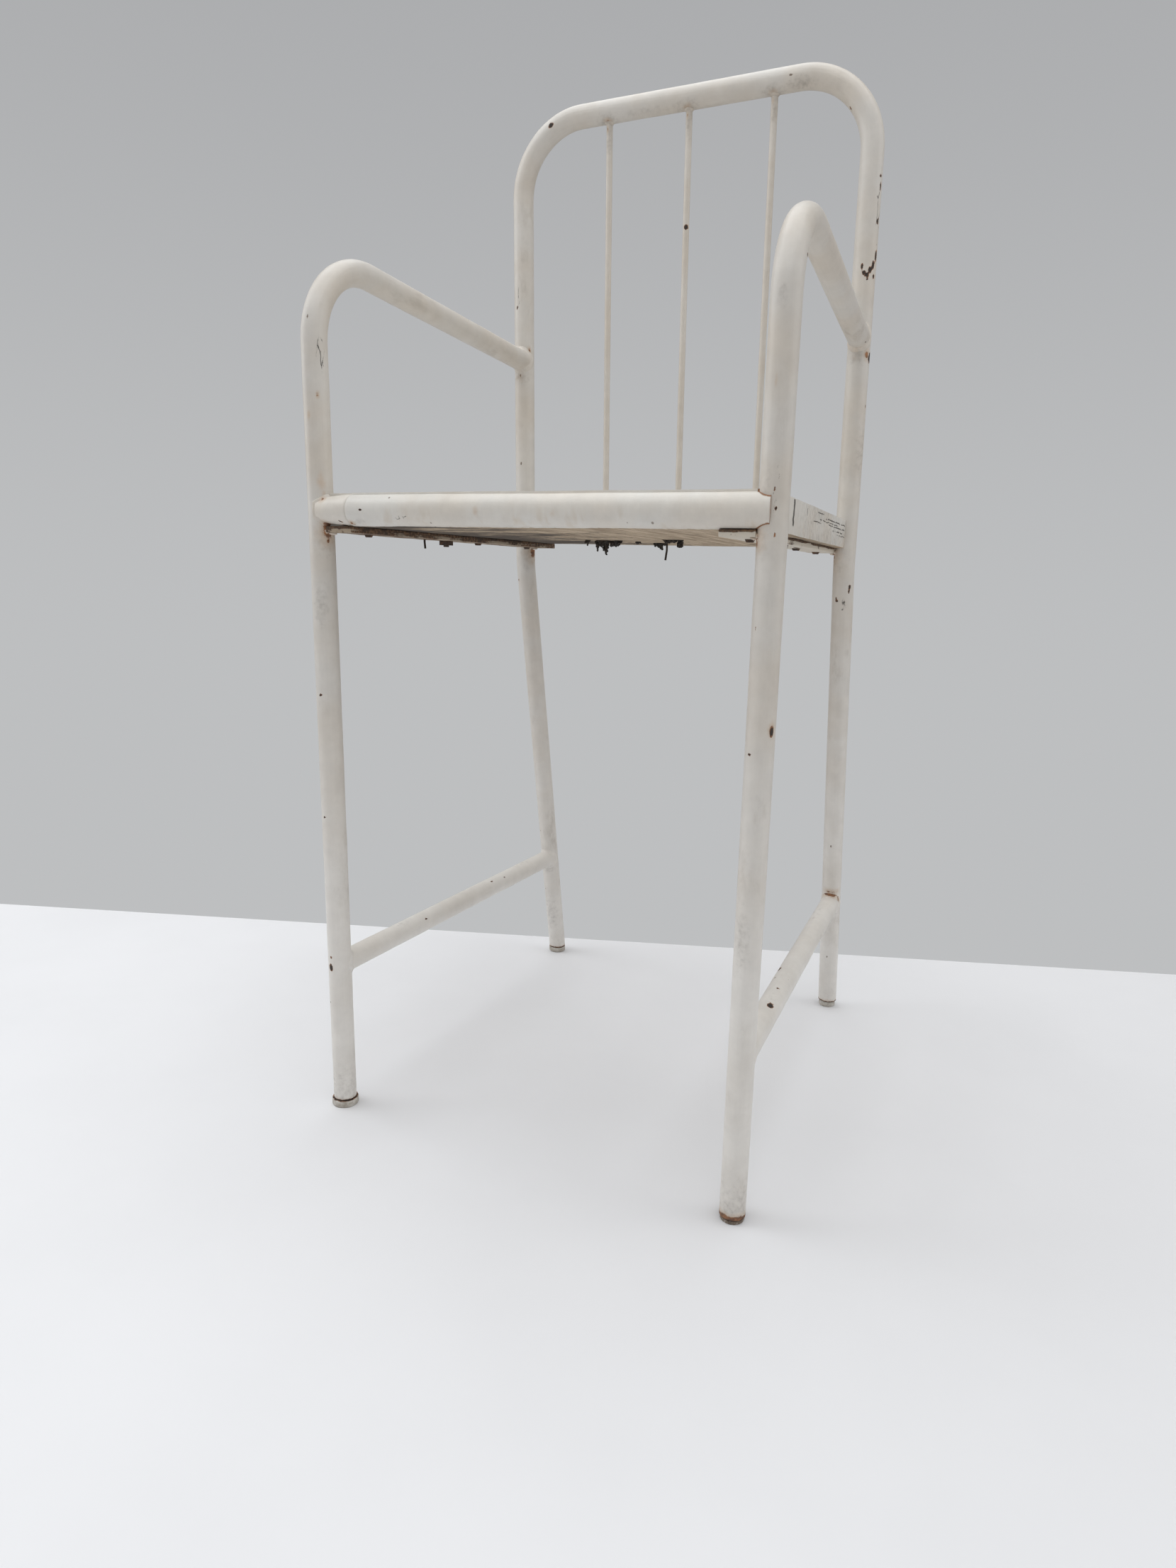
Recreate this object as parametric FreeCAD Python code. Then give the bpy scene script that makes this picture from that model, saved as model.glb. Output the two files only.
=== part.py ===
"""Child's high chair of bent and welded steel tube with a wooden seat board.

Frame: millimetres, +Z up, the floor at Z = 0, the front of the chair towards -Y, +X to the
right of someone facing the chair. The origin is under the middle of the chair's bounding box.
"""
import FreeCAD, Part
import math
import os

V = FreeCAD.Vector
os.makedirs("parts", exist_ok=True)

# ---- Tube and rod stock --------------------------------------------------------------------
TUBE_R = 10.0
TUBE_WALL = 1.5
SPINDLE_R = 3.0

# ---- Front legs and arms (one bent tube on each side) --------------------------------------
FRONT_FOOT_X = 183.0
FRONT_FOOT_Y = -203.5
ARM_CORNER_X = 181.5
ARM_CORNER_Y = -220.0
ARM_CORNER_Z = 713.0
ARM_REAR_Z = 694.0
ARM_BEND_R = 62.0

# ---- Back hoop and rear legs (one bent tube) -----------------------------------------------
REAR_FOOT_X = 174.5
REAR_FOOT_Y = 220.8
REAR_BEND_X = 172.0
REAR_BEND_Y = 112.0
REAR_BEND_Z = 490.0
REAR_BEND_R = 120.0
TOP_RAIL_X = 170.0
TOP_RAIL_Y = 89.5
TOP_RAIL_Z = 908.5
TOP_BEND_R = 65.0

# ---- Side stretchers -----------------------------------------------------------------------
STRETCHER_FRONT_Z = 136.5
STRETCHER_REAR_Z = 133.5

# ---- Seat board ----------------------------------------------------------------------------
BOARD_BOTTOM_Z = 511.0
BOARD_T = 25.0
LIP_T = 1.2
LIP_BACK = 9.0
NOSE_FRONT_Y = -229.5
LUG_END_X = -148.0
LUG_NECK_R = 10.6

# ---- Rails under and behind the board ------------------------------------------------------
STRAP_W = 25.0
STRAP_T = 5.0
STRAP_FRONT_Y = -222.0
STRAP_REAR_Y = 114.0
BACK_RAIL_T = 8.0
BACK_RAIL_H = 20.0

# ---- Spindles ------------------------------------------------------------------------------
SPINDLE_PITCH = 79.5
SPINDLE_OFFSET = 2.5

# ---- Foot plugs: side, end, disc radius, disc height, chamfer ------------------------------
SPIGOT_LENGTH = 12.0
PLUGS = {
    "foot_plug_front_left": (-1, "front", 11.7, 7.0, 1.0),
    "foot_plug_front_right": (1, "front", 9.2, 4.0, 0.6),
    "foot_plug_rear_left": (-1, "rear", 10.2, 7.0, 1.5),
    "foot_plug_rear_right": (1, "rear", 8.8, 7.0, 0.8),
}

# ---- Welds and fixings ---------------------------------------------------------------------
BEAD = 2.0
SCREW_HEAD_R = 3.6
SCREW_HEAD_H = 2.0
SCREW_SHANK_R = 1.7
SCREW_BITE = 13.0
SCREW_YS = (-185.0, -20.0, 75.0)
NUT_W = 9.0
NUT_H = 4.0
STUD_R = 2.5
STUD_Y = -74.0
NAIL_R = 0.9

# ---- Values that follow from the ones above ------------------------------------------------
BOARD_TOP_Z = BOARD_BOTTOM_Z + BOARD_T
NOSE_R = (BOARD_T - LIP_T) / 2.0
NOSE_Y = NOSE_FRONT_Y + NOSE_R
NOSE_Z = BOARD_BOTTOM_Z + NOSE_R
STRAP_BOTTOM_Z = BOARD_BOTTOM_Z - STRAP_T
UP = V(0, 0, 1)


def along(a, b, z):
    """Point at height z on the line from a to b."""
    t = (z - a.z) / (b.z - a.z)
    return a + (b - a) * t


def front_foot(side):
    return V(side * FRONT_FOOT_X, FRONT_FOOT_Y, 0)


def arm_corner(side):
    return V(side * ARM_CORNER_X, ARM_CORNER_Y, ARM_CORNER_Z)


def rear_foot(side):
    return V(side * REAR_FOOT_X, REAR_FOOT_Y, 0)


def rear_bend(side):
    return V(side * REAR_BEND_X, REAR_BEND_Y, REAR_BEND_Z)


def top_corner(side):
    return V(side * TOP_RAIL_X, TOP_RAIL_Y, TOP_RAIL_Z)


def front_axis(side, z):
    """Centre of the front leg at height z."""
    return along(front_foot(side), arm_corner(side), z)


def rear_leg_axis(side, z):
    """Centre of the raked rear leg at height z."""
    return along(rear_foot(side), rear_bend(side), z)


def upright_axis(side, z):
    """Centre of the back upright at height z."""
    return along(rear_bend(side), top_corner(side), z)


def rod(a, b, radius):
    """Solid round rod from point a to point b."""
    run = b - a
    return Part.makeCylinder(radius, run.Length, a, run)


def box(x0, x1, y0, y1, z0, z1):
    """Solid block between two corners."""
    return Part.makeBox(x1 - x0, y1 - y0, z1 - z0, V(x0, y0, z0))


def path_with_bends(points, radii):
    """Wire through the points, with each inner corner rounded to its radius."""
    edges = []
    start = points[0]
    for i, radius in enumerate(radii, 1):
        corner = points[i]
        before = (points[i - 1] - corner).normalize()
        after = (points[i + 1] - corner).normalize()
        half = before.getAngle(after) / 2.0
        setback = radius / math.tan(half)
        p = corner + before * setback
        q = corner + after * setback
        middle = (before + after).normalize()
        centre = corner + middle * (radius / math.sin(half))
        edges.append(Part.makeLine(start, p))
        edges.append(Part.Arc(p, centre - middle * radius, q).toShape())
        start = q
    edges.append(Part.makeLine(start, points[-1]))
    return Part.Wire(edges)


def swept_round(points, radii, radius):
    """Round bar of the given radius that follows a bent path."""
    wire = path_with_bends(points, radii)
    run = points[1] - points[0]
    circle = Part.Wire([Part.makeCircle(radius, points[0], run)])
    return wire.makePipeShell([circle], True, False)


def tube(points, radii):
    """Outer body and bore of a tube that follows a bent path."""
    outer = swept_round(points, radii, TUBE_R)
    bore = swept_round(points, radii, TUBE_R - TUBE_WALL)
    return outer, bore


def extend(a, b, length):
    """Point beyond b on the line from a to b."""
    return b + (b - a).normalize() * length


def bead(main_a, main_b, stub_a, stub_b, stub_r):
    """Weld bead where a stub meets a main tube: a ring lying on both of them."""
    ring = rod(main_a, main_b, TUBE_R + BEAD).common(rod(stub_a, stub_b, stub_r + BEAD))
    ring = ring.cut(rod(main_a, main_b, TUBE_R))
    return ring.cut(rod(extend(stub_b, stub_a, 40), extend(stub_a, stub_b, 40), stub_r))


def save(name, shape):
    """Write one node, and report its size."""
    solids = shape.Solids
    result = solids[0] if len(solids) == 1 else Part.makeCompound(solids)
    result.exportStep("parts/%s.step" % name)
    bounds = result.BoundBox
    print("%-24s solids %d  volume %.0f  x %.1f %.1f  y %.1f %.1f  z %.1f %.1f" % (
        name, len(solids), sum(s.Volume for s in solids),
        bounds.XMin, bounds.XMax, bounds.YMin, bounds.YMax, bounds.ZMin, bounds.ZMax))
    nodes[name] = result


nodes = {}
FLOOR_CUT = 60.0


def below(z):
    """Block that takes away everything below height z."""
    return box(-400, 400, -400, 400, -200, z)


# ---- Back hoop with both rear legs ---------------------------------------------------------
hoop_points = [
    extend(rear_bend(-1), rear_foot(-1), FLOOR_CUT),
    rear_bend(-1),
    top_corner(-1),
    top_corner(1),
    rear_bend(1),
    extend(rear_bend(1), rear_foot(1), FLOOR_CUT),
]
hoop_outer, hoop_bore = tube(hoop_points, [REAR_BEND_R, TOP_BEND_R, TOP_BEND_R, REAR_BEND_R])
rear_plug_h = PLUGS["foot_plug_rear_left"][3]
hoop_tube = hoop_outer.cut(hoop_bore).cut(below(rear_plug_h))

# ---- Arm and front leg on each side --------------------------------------------------------
arm_outer = {}
arm_bore = {}
arm_tube = {}
for side, word in ((-1, "left"), (1, "right")):
    joint = upright_axis(side, ARM_REAR_Z)
    points = [extend(arm_corner(side), front_foot(side), FLOOR_CUT), arm_corner(side), joint]
    outer, bore = tube(points, [ARM_BEND_R])
    plug_h = PLUGS["foot_plug_front_" + word][3]
    arm_outer[side] = outer
    arm_bore[side] = bore
    arm_tube[side] = outer.cut(bore).cut(hoop_outer).cut(below(plug_h))

# ---- Side stretchers -----------------------------------------------------------------------
stretcher_ends = {}
for side, word in ((-1, "left"), (1, "right")):
    a = front_axis(side, STRETCHER_FRONT_Z)
    b = rear_leg_axis(side, STRETCHER_REAR_Z)
    stretcher_ends[side] = (a, b)
    bar = rod(a, b, TUBE_R).cut(rod(extend(b, a, 1), extend(a, b, 1), TUBE_R - TUBE_WALL))
    bar = bar.cut(arm_outer[side]).cut(hoop_outer)
    save("side_stretcher_" + word, bar)

# ---- Round lug that closes the left end of the seat's nose ---------------------------------
lug = rod(V(LUG_END_X, NOSE_Y, NOSE_Z), V(LUG_END_X - 9, NOSE_Y, NOSE_Z), NOSE_R)
neck = Part.makeCone(NOSE_R, LUG_NECK_R, 21, V(LUG_END_X - 9, NOSE_Y, NOSE_Z), V(-1, 0, 0))
lug_body = lug.fuse(neck).removeSplitter()
lug_solid = lug_body.cut(arm_outer[-1])

# ---- Rear seat rail, a flat bar on edge between the uprights -------------------------------
rail_y = upright_axis(1, BOARD_BOTTOM_Z + BACK_RAIL_H / 2.0).y
rail_front = rail_y - BACK_RAIL_T / 2.0
rail_block = box(-REAR_BEND_X, REAR_BEND_X, rail_front, rail_front + BACK_RAIL_T,
                 BOARD_BOTTOM_Z, BOARD_BOTTOM_Z + BACK_RAIL_H)
rear_rail = rail_block.cut(hoop_outer)

# ---- Seat board: flat, with a half-round nose and a thin lip along its top edge ------------
lip_y = NOSE_FRONT_Y + LIP_BACK
lip_low = V(0, lip_y, NOSE_Z + math.sqrt(NOSE_R ** 2 - (lip_y - NOSE_Y) ** 2))
outline = [
    Part.Arc(lip_low, V(0, NOSE_FRONT_Y, NOSE_Z), V(0, NOSE_Y, BOARD_BOTTOM_Z)).toShape(),
    Part.makeLine(V(0, NOSE_Y, BOARD_BOTTOM_Z), V(0, rail_front, BOARD_BOTTOM_Z)),
    Part.makeLine(V(0, rail_front, BOARD_BOTTOM_Z), V(0, rail_front, BOARD_TOP_Z)),
    Part.makeLine(V(0, rail_front, BOARD_TOP_Z), V(0, lip_y, BOARD_TOP_Z)),
    Part.makeLine(V(0, lip_y, BOARD_TOP_Z), lip_low),
]
profile = Part.Face(Part.Wire(outline))
profile.translate(V(-200, 0, 0))
slab = profile.extrude(V(400, 0, 0))
edge_front = front_axis(1, NOSE_Z)
edge_rear = upright_axis(1, NOSE_Z)
slope = (edge_front.x - edge_rear.x) / (edge_rear.y - edge_front.y)


def half_width(y):
    """Half the board's width at y: its sides run from leg centre to leg centre."""
    return edge_rear.x + slope * (edge_rear.y - y)


near = NOSE_FRONT_Y - 5
far = rail_front + 5
plan = Part.makePolygon([
    V(-half_width(near), near, 480), V(half_width(near), near, 480),
    V(half_width(far), far, 480), V(-half_width(far), far, 480), V(-half_width(near), near, 480)])
board = slab.common(Part.Face(plan).extrude(V(0, 0, 100)))
board = board.cut(box(-200, LUG_END_X, near, NOSE_Y + NOSE_R, 480, 580))
board = board.cut(arm_outer[-1]).cut(arm_outer[1]).cut(hoop_outer)

# ---- Straps under the board, one along each side -------------------------------------------
strap = {}
for side in (-1, 1):
    outer_front = front_axis(side, STRAP_BOTTOM_Z).x - side * (TUBE_R - 0.8)
    outer_rear = upright_axis(side, STRAP_BOTTOM_Z).x - side * (TUBE_R - 0.8)
    shift = side * STRAP_W
    flat = Part.makePolygon([
        V(outer_front, STRAP_FRONT_Y, STRAP_BOTTOM_Z),
        V(outer_rear, STRAP_REAR_Y, STRAP_BOTTOM_Z),
        V(outer_rear - shift, STRAP_REAR_Y, STRAP_BOTTOM_Z),
        V(outer_front - shift, STRAP_FRONT_Y, STRAP_BOTTOM_Z),
        V(outer_front, STRAP_FRONT_Y, STRAP_BOTTOM_Z)])
    bar = Part.Face(flat).extrude(V(0, 0, STRAP_T))
    strap[side] = bar.cut(arm_outer[side]).cut(hoop_outer)


def strap_middle(side, y):
    """Point on the strap's underside, half-way across it, at y."""
    front = front_axis(side, STRAP_BOTTOM_Z).x
    rear = upright_axis(side, STRAP_BOTTOM_Z).x
    t = (y - STRAP_FRONT_Y) / (STRAP_REAR_Y - STRAP_FRONT_Y)
    x = front + (rear - front) * t
    return V(x - side * (TUBE_R - 0.8 + STRAP_W / 2.0), y, STRAP_BOTTOM_Z)


# ---- Fixings under the seat ----------------------------------------------------------------
screws = []
shanks = []
for side in (-1, 1):
    for y in SCREW_YS:
        p = strap_middle(side, y)
        head = Part.makeCone(SCREW_HEAD_R * 0.72, SCREW_HEAD_R, SCREW_HEAD_H,
                             p - V(0, 0, SCREW_HEAD_H), UP)
        shank = Part.makeCylinder(SCREW_SHANK_R, STRAP_T + SCREW_BITE, p, UP)
        slot = box(p.x - 0.5, p.x + 0.5, y - 5, y + 5, p.z - SCREW_HEAD_H - 1,
                   p.z - SCREW_HEAD_H + 0.8)
        screws.append(head.fuse(shank).removeSplitter().cut(slot))
        shanks.append(shank)

stud_at = strap_middle(-1, STUD_Y)
stud = Part.makeCylinder(STUD_R, STRAP_T + NUT_H + 1.5 + SCREW_BITE,
                         stud_at - V(0, 0, NUT_H + 1.5), UP)
nut = box(stud_at.x - NUT_W / 2, stud_at.x + NUT_W / 2, STUD_Y - NUT_W / 2,
          STUD_Y + NUT_W / 2, stud_at.z - NUT_H, stud_at.z)
shanks.append(stud)

nail_left = strap_middle(-1, -107.0)
nail_right = strap_middle(1, -96.0) + V(7, 0, 0)
nails = []
for foot in (V(45.0, -36.0, 497.0), V(nail_left.x, nail_left.y, 501.5),
             V(nail_right.x, nail_right.y, 503.0)):
    point = Part.makeCone(0.15, NAIL_R, 2.0, foot, UP)
    body = Part.makeCylinder(NAIL_R, 527.0 - foot.z - 2.0, foot + V(0, 0, 2.0), UP)
    nail = point.fuse(body).removeSplitter()
    nails.append(nail)
    shanks.append(nail)

for shank in shanks:
    board = board.cut(shank)
    strap[-1] = strap[-1].cut(shank)
    strap[1] = strap[1].cut(shank)

save("seat_board", board)
save("seat_nose_lug", lug_solid)
save("rear_seat_rail", rear_rail)
save("seat_strap_left", strap[-1])
save("seat_strap_right", strap[1])
save("strap_screws", Part.makeCompound(screws))
save("strap_stud", stud)
save("strap_nut", nut.cut(stud))
save("seat_nails", Part.makeCompound(nails))

# ---- Spindles, from the rear seat rail up to the top rail ----------------------------------
spindle_line = {}
for word, step in (("left", -1), ("centre", 0), ("right", 1)):
    x = SPINDLE_OFFSET + step * SPINDLE_PITCH
    top = V(x, TOP_RAIL_Y, TOP_RAIL_Z)
    foot = V(x, upright_axis(1, BOARD_BOTTOM_Z).y, BOARD_BOTTOM_Z)
    spindle_line[word] = (foot, top)
    rail_top = BOARD_BOTTOM_Z + BACK_RAIL_H
    save("spindle_" + word, rod(foot, top, SPINDLE_R).cut(hoop_outer).cut(below(rail_top)))

# ---- Foot plugs: a disc under the tube with a spigot inside it -----------------------------
plug_bodies = []
for name, (side, end, radius, height, chamfer) in PLUGS.items():
    if end == "front":
        low, high = front_axis(side, 0), front_axis(side, 60)
    else:
        low, high = rear_leg_axis(side, 0), rear_leg_axis(side, 60)
    at_top = along(low, high, height)
    centre = V(at_top.x, at_top.y, 0)
    disc = Part.makeCylinder(radius, height, centre, UP)
    rims = [e for e in disc.Edges if e.BoundBox.ZMax < 0.01 and e.Length > 1]
    disc = disc.makeChamfer(chamfer, rims)
    spigot = rod(extend(high, low, 5), high, TUBE_R - TUBE_WALL)
    spigot = spigot.common(box(-400, 400, -400, 400, height, height + SPIGOT_LENGTH))
    save(name, disc.fuse(spigot).removeSplitter())

# ---- Tubes ---------------------------------------------------------------------------------
save("back_frame_tube", hoop_tube)
save("arm_leg_left", arm_tube[-1])
save("arm_leg_right", arm_tube[1])

# ---- Weld beads ----------------------------------------------------------------------------
arm_beads = []
stretcher_beads = []
rail_beads = []
strap_beads = []
for side in (-1, 1):
    joint = upright_axis(side, ARM_REAR_Z)
    ahead = joint + (arm_corner(side) - joint).normalize() * 60
    arm_beads.append(bead(upright_axis(side, 640), upright_axis(side, 750), ahead, joint, TUBE_R))
    a, b = stretcher_ends[side]
    middle = (a + b) * 0.5
    stretcher_beads.append(bead(front_axis(side, 90), front_axis(side, 180), middle, a, TUBE_R))
    stretcher_beads.append(
        bead(rear_leg_axis(side, 90), rear_leg_axis(side, 180), middle, b, TUBE_R))

    collar = rod(upright_axis(side, 500), upright_axis(side, 545), TUBE_R + BEAD)
    swollen = box(-REAR_BEND_X, REAR_BEND_X, rail_front - BEAD, rail_front + BACK_RAIL_T + BEAD,
                  BOARD_BOTTOM_Z, BOARD_BOTTOM_Z + BACK_RAIL_H + BEAD)
    ring = collar.common(swollen)
    ring = ring.common(box(min(0, side * 200), max(0, side * 200), 0, 200, 0, 900))
    ring = ring.cut(rail_block).cut(board).cut(hoop_outer).cut(strap[side])
    rail_beads.append(ring)

    for axis, y_mid in ((front_axis, None), (upright_axis, None)):
        p = axis(side, STRAP_BOTTOM_Z)
        sleeve = rod(axis(side, STRAP_BOTTOM_Z - 30), axis(side, STRAP_BOTTOM_Z + 30),
                     TUBE_R + BEAD + 0.8)
        inner_x = p.x - side * 6
        wedge = box(min(inner_x, inner_x - side * 12), max(inner_x, inner_x - side * 12),
                    p.y - 5.5, p.y + 3.5, STRAP_BOTTOM_Z - BEAD, STRAP_BOTTOM_Z)
        strap_beads.append(sleeve.common(wedge).cut(arm_outer[side]).cut(hoop_outer))

lug_collar = rod(front_axis(-1, 490), front_axis(-1, 560), TUBE_R + BEAD)
lug_ring = lug_collar.common(Part.makeCone(NOSE_R + BEAD, LUG_NECK_R + BEAD, 21,
                                           V(LUG_END_X - 9, NOSE_Y, NOSE_Z), V(-1, 0, 0)))
lug_ring = lug_ring.cut(lug_body).cut(arm_outer[-1]).cut(board).cut(strap[-1])
lug_ring = lug_ring.cut(strap_beads[0])

spindle_beads = []
for foot, top in spindle_line.values():
    left = V(top.x - 20, TOP_RAIL_Y, TOP_RAIL_Z)
    right = V(top.x + 20, TOP_RAIL_Y, TOP_RAIL_Z)
    spindle_beads.append(bead(left, right, along(foot, top, 850), top, SPINDLE_R))
    p = along(foot, top, BOARD_BOTTOM_Z + BACK_RAIL_H)
    cone = Part.makeCone(SPINDLE_R + 1.1, SPINDLE_R + 0.2, 2.0, p, UP)
    spindle_beads.append(cone.cut(rod(foot, top, SPINDLE_R)))

save("arm_welds", Part.makeCompound(arm_beads))
save("stretcher_welds", Part.makeCompound(stretcher_beads))
save("rear_rail_welds", Part.makeCompound(rail_beads))
save("strap_welds", Part.makeCompound(strap_beads))
save("nose_lug_weld", lug_ring)
save("spindle_welds", Part.makeCompound(spindle_beads))

whole = FreeCAD.BoundBox()
for shape in nodes.values():
    whole.add(shape.BoundBox)
print("nodes %d  x %.2f %.2f  y %.2f %.2f  z %.2f %.2f" % (
    len(nodes), whole.XMin, whole.XMax, whole.YMin, whole.YMax, whole.ZMin, whole.ZMax))
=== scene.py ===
"""Looks of a child's high chair of bent, welded and brush-painted steel tube with a wooden seat.

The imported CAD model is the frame. Each sub-assembly is a class that builds its meshes and dresses
them; each finish is a frozen dataclass that builds its own node material. Lengths are in metres,
+Z is up, the chair's front faces -Y and +X is to the right of someone who faces the chair.
"""
import sys
import logging
import math
from dataclasses import dataclass, field
from enum import Enum
from functools import cache
from typing import Callable, Sequence

import bmesh
import bpy
import numpy as np
from bpy.types import Material, Mesh, Node, NodeTree
from bpy.types import NodeSocket as Socket
from mathutils import Matrix, Vector, noise


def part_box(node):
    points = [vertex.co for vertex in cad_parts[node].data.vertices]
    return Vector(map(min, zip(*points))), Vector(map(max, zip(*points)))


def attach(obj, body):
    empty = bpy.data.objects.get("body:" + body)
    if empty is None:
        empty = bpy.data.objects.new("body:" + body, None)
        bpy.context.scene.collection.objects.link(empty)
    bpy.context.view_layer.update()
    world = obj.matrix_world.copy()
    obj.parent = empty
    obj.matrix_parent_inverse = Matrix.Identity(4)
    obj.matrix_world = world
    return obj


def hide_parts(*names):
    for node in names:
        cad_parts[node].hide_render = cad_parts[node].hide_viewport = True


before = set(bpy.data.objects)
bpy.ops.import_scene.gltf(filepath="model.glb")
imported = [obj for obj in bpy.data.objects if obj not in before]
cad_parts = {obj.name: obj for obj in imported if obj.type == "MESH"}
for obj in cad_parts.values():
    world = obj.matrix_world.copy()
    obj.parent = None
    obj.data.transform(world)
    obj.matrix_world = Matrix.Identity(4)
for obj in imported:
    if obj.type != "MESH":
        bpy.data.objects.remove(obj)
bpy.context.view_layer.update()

LOG = logging.getLogger("high_chair")
BODY = "root"
MM = 0.001
NOISE_SEED = 7
UP = Vector((0.0, 0.0, 1.0))
ACROSS = Vector((1.0, 0.0, 0.0))
BACK = Vector((0.0, 1.0, 0.0))


# ---- Sizes


class Side(Enum):
    """The chair's left and right, as seen by someone who faces it."""

    LEFT = -1
    RIGHT = 1

    @property
    def word(self) -> str:
        """The side's name as the node names spell it."""
        return self.name.lower()


@dataclass(frozen=True)
class Layout:
    """Centre lines of the chair's frame, and the sizes of its stock."""

    tube_radius: float = 0.010
    rod_radius: float = 0.003
    front_foot: tuple[float, float, float] = (0.183, -0.2035, 0.0)
    arm_corner: tuple[float, float, float] = (0.1815, -0.220, 0.713)
    rear_foot: tuple[float, float, float] = (0.1745, 0.2208, 0.0)
    rear_bend: tuple[float, float, float] = (0.172, 0.112, 0.490)
    top_corner: tuple[float, float, float] = (0.170, 0.0895, 0.9085)
    arm_rear_z: float = 0.694
    stretcher_front_z: float = 0.1365
    stretcher_rear_z: float = 0.1335
    arm_bend_radius: float = 0.062
    top_bend_radius: float = 0.065
    rear_bend_radius: float = 0.120
    spindle_pitch: float = 0.0795
    spindle_offset: float = 0.0025
    seat_low: float = 0.511

    def point(self, name: str, side: Side) -> Vector:
        """The named corner on one side of the chair."""
        x, y, z = getattr(self, name)
        return Vector((side.value * x, y, z))

    def run(self, first: str, last: str, side: Side) -> Vector:
        """The way from one named corner to another."""
        return self.point(last, side) - self.point(first, side)

    def front_leg(self, side: Side, z: float) -> Vector:
        """Centre of the front leg at height z."""
        return at_height(self.point("front_foot", side), self.point("arm_corner", side), z)

    def rear_leg(self, side: Side, z: float) -> Vector:
        """Centre of the raked rear leg at height z."""
        return at_height(self.point("rear_foot", side), self.point("rear_bend", side), z)

    def upright(self, side: Side, z: float) -> Vector:
        """Centre of the back upright at height z."""
        return at_height(self.point("rear_bend", side), self.point("top_corner", side), z)


def at_height(a: Vector, b: Vector, z: float) -> Vector:
    """Point at height z on the line from a to b."""
    return a + (b - a) * ((z - a.z) / (b.z - a.z))


LAYOUT = Layout()


@dataclass
class Path:
    """A smooth centre line: straight runs joined by round bends.

    Attributes:
        corners: the ends and corners of the line.
        radii: bend radius at each inner corner.
        step_deg: turn between neighbouring points of a bend.
    """

    corners: Sequence[Vector]
    radii: Sequence[float] = ()
    step_deg: float = 2.5

    def points(self) -> list[Vector]:
        """Points along the line, dense in the bends."""
        line = [self.corners[0].copy()]
        for i, radius in enumerate(self.radii, 1):
            corner = self.corners[i]
            before = (self.corners[i - 1] - corner).normalized()
            after = (self.corners[i + 1] - corner).normalized()
            half = before.angle(after) / 2.0
            middle = (before + after).normalized()
            centre = corner + middle * (radius / math.sin(half))
            start = corner + before * (radius / math.tan(half)) - centre
            end = corner + after * (radius / math.tan(half)) - centre
            turn = start.angle(end)
            count = max(3, math.ceil(math.degrees(turn) / self.step_deg))
            for k in range(count + 1):
                t = k / count
                a = math.sin((1.0 - t) * turn) / math.sin(turn)
                b = math.sin(t * turn) / math.sin(turn)
                line.append(centre + start * a + end * b)
        line.append(self.corners[-1].copy())
        return line

    def at(self, distance: float) -> tuple[Vector, Vector]:
        """Point and direction at a distance from the line's start."""
        line = self.points()
        for a, b in zip(line, line[1:]):
            run = (b - a).length
            if distance <= run or b is line[-1]:
                return a + (b - a) * (distance / run), (b - a).normalized()
            distance -= run
        return line[-1], (line[-1] - line[-2]).normalized()


# ---- Wear: soft fields stored on the meshes, which the materials turn into chips, rust and dirt; the grime field also carries painted shade in a few places


class Wear(Enum):
    """The kinds of wear that a mesh carries as point attributes."""

    CHIP = "chip"
    RUST = "rust"
    # grime marks carry dirt, and in a few places painted shade
    GRIME = "grime"
    CRACK = "crack"


CHIP, RUST, GRIME, CRACK = Wear


@dataclass(frozen=True)
class Mark:
    """One worn place.

    Attributes:
        kind: what is wrong with the paint there.
        centre: the middle of the place.
        size: radius of the place across its long way.
        along: direction of its long way.
        stretch: its length over its width.
        strength: 1 for a bare or filthy place, less for a faint one.
    """

    kind: Wear
    centre: Sequence[float]
    size: float
    along: Sequence[float] = UP
    stretch: float = 1.0
    strength: float = 1.0

    def field_at(self, points: np.ndarray) -> np.ndarray:
        """Strength of this mark at each point: full in the middle and 0 beyond its reach."""
        offset = points - np.array(Vector(self.centre))
        axis = np.array(Vector(self.along).normalized())
        run = offset @ axis
        across = np.linalg.norm(offset - run[:, None] * axis, axis=1)
        reach = 2.0 * self.size
        distance = np.hypot(across / reach, run / (reach * self.stretch))
        return self.strength * np.clip(1.0 - distance, 0.0, 1.0)


def mark_on(path: Path, kind: Wear, distance: float, facing: tuple[float, float, float],
            size_mm: float, stretch: float = 1.0, strength: float = 1.0,
            radius: float = LAYOUT.tube_radius) -> Mark:
    """A mark on a tube's skin.

    Args:
        path: the tube's centre line.
        kind: what is wrong with the paint there.
        distance: how far along the tube it is, from the tube's start.
        facing: direction that the marked skin faces.
        size_mm: radius of the place, in millimetres.
        stretch: its length along the tube over its width.
        strength: how bad it is, up to 1.
        radius: the tube's own radius.

    Returns:
        The mark, with its centre on the tube's skin.
    """
    centre, along = path.at(distance)
    outward = Vector(facing)
    outward = (outward - along * outward.dot(along)).normalized()
    return Mark(kind, centre + outward * radius, size_mm * MM, along, stretch, strength)


def write_wear(mesh: Mesh, marks: Sequence[Mark]) -> None:
    """Store every kind of wear on the mesh as a float per vertex."""
    points = np.empty(len(mesh.vertices) * 3)
    mesh.vertices.foreach_get("co", points)
    points = points.reshape(-1, 3)
    for kind in Wear:
        total = np.zeros(len(points))
        for mark in marks:
            if mark.kind is kind:
                total = np.maximum(total, mark.field_at(points))
        layer = mesh.attributes.new(kind.value, "FLOAT", "POINT")
        layer.data.foreach_set("value", total)


# ---- Node helpers

Outputs = Sequence[Socket]


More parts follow.
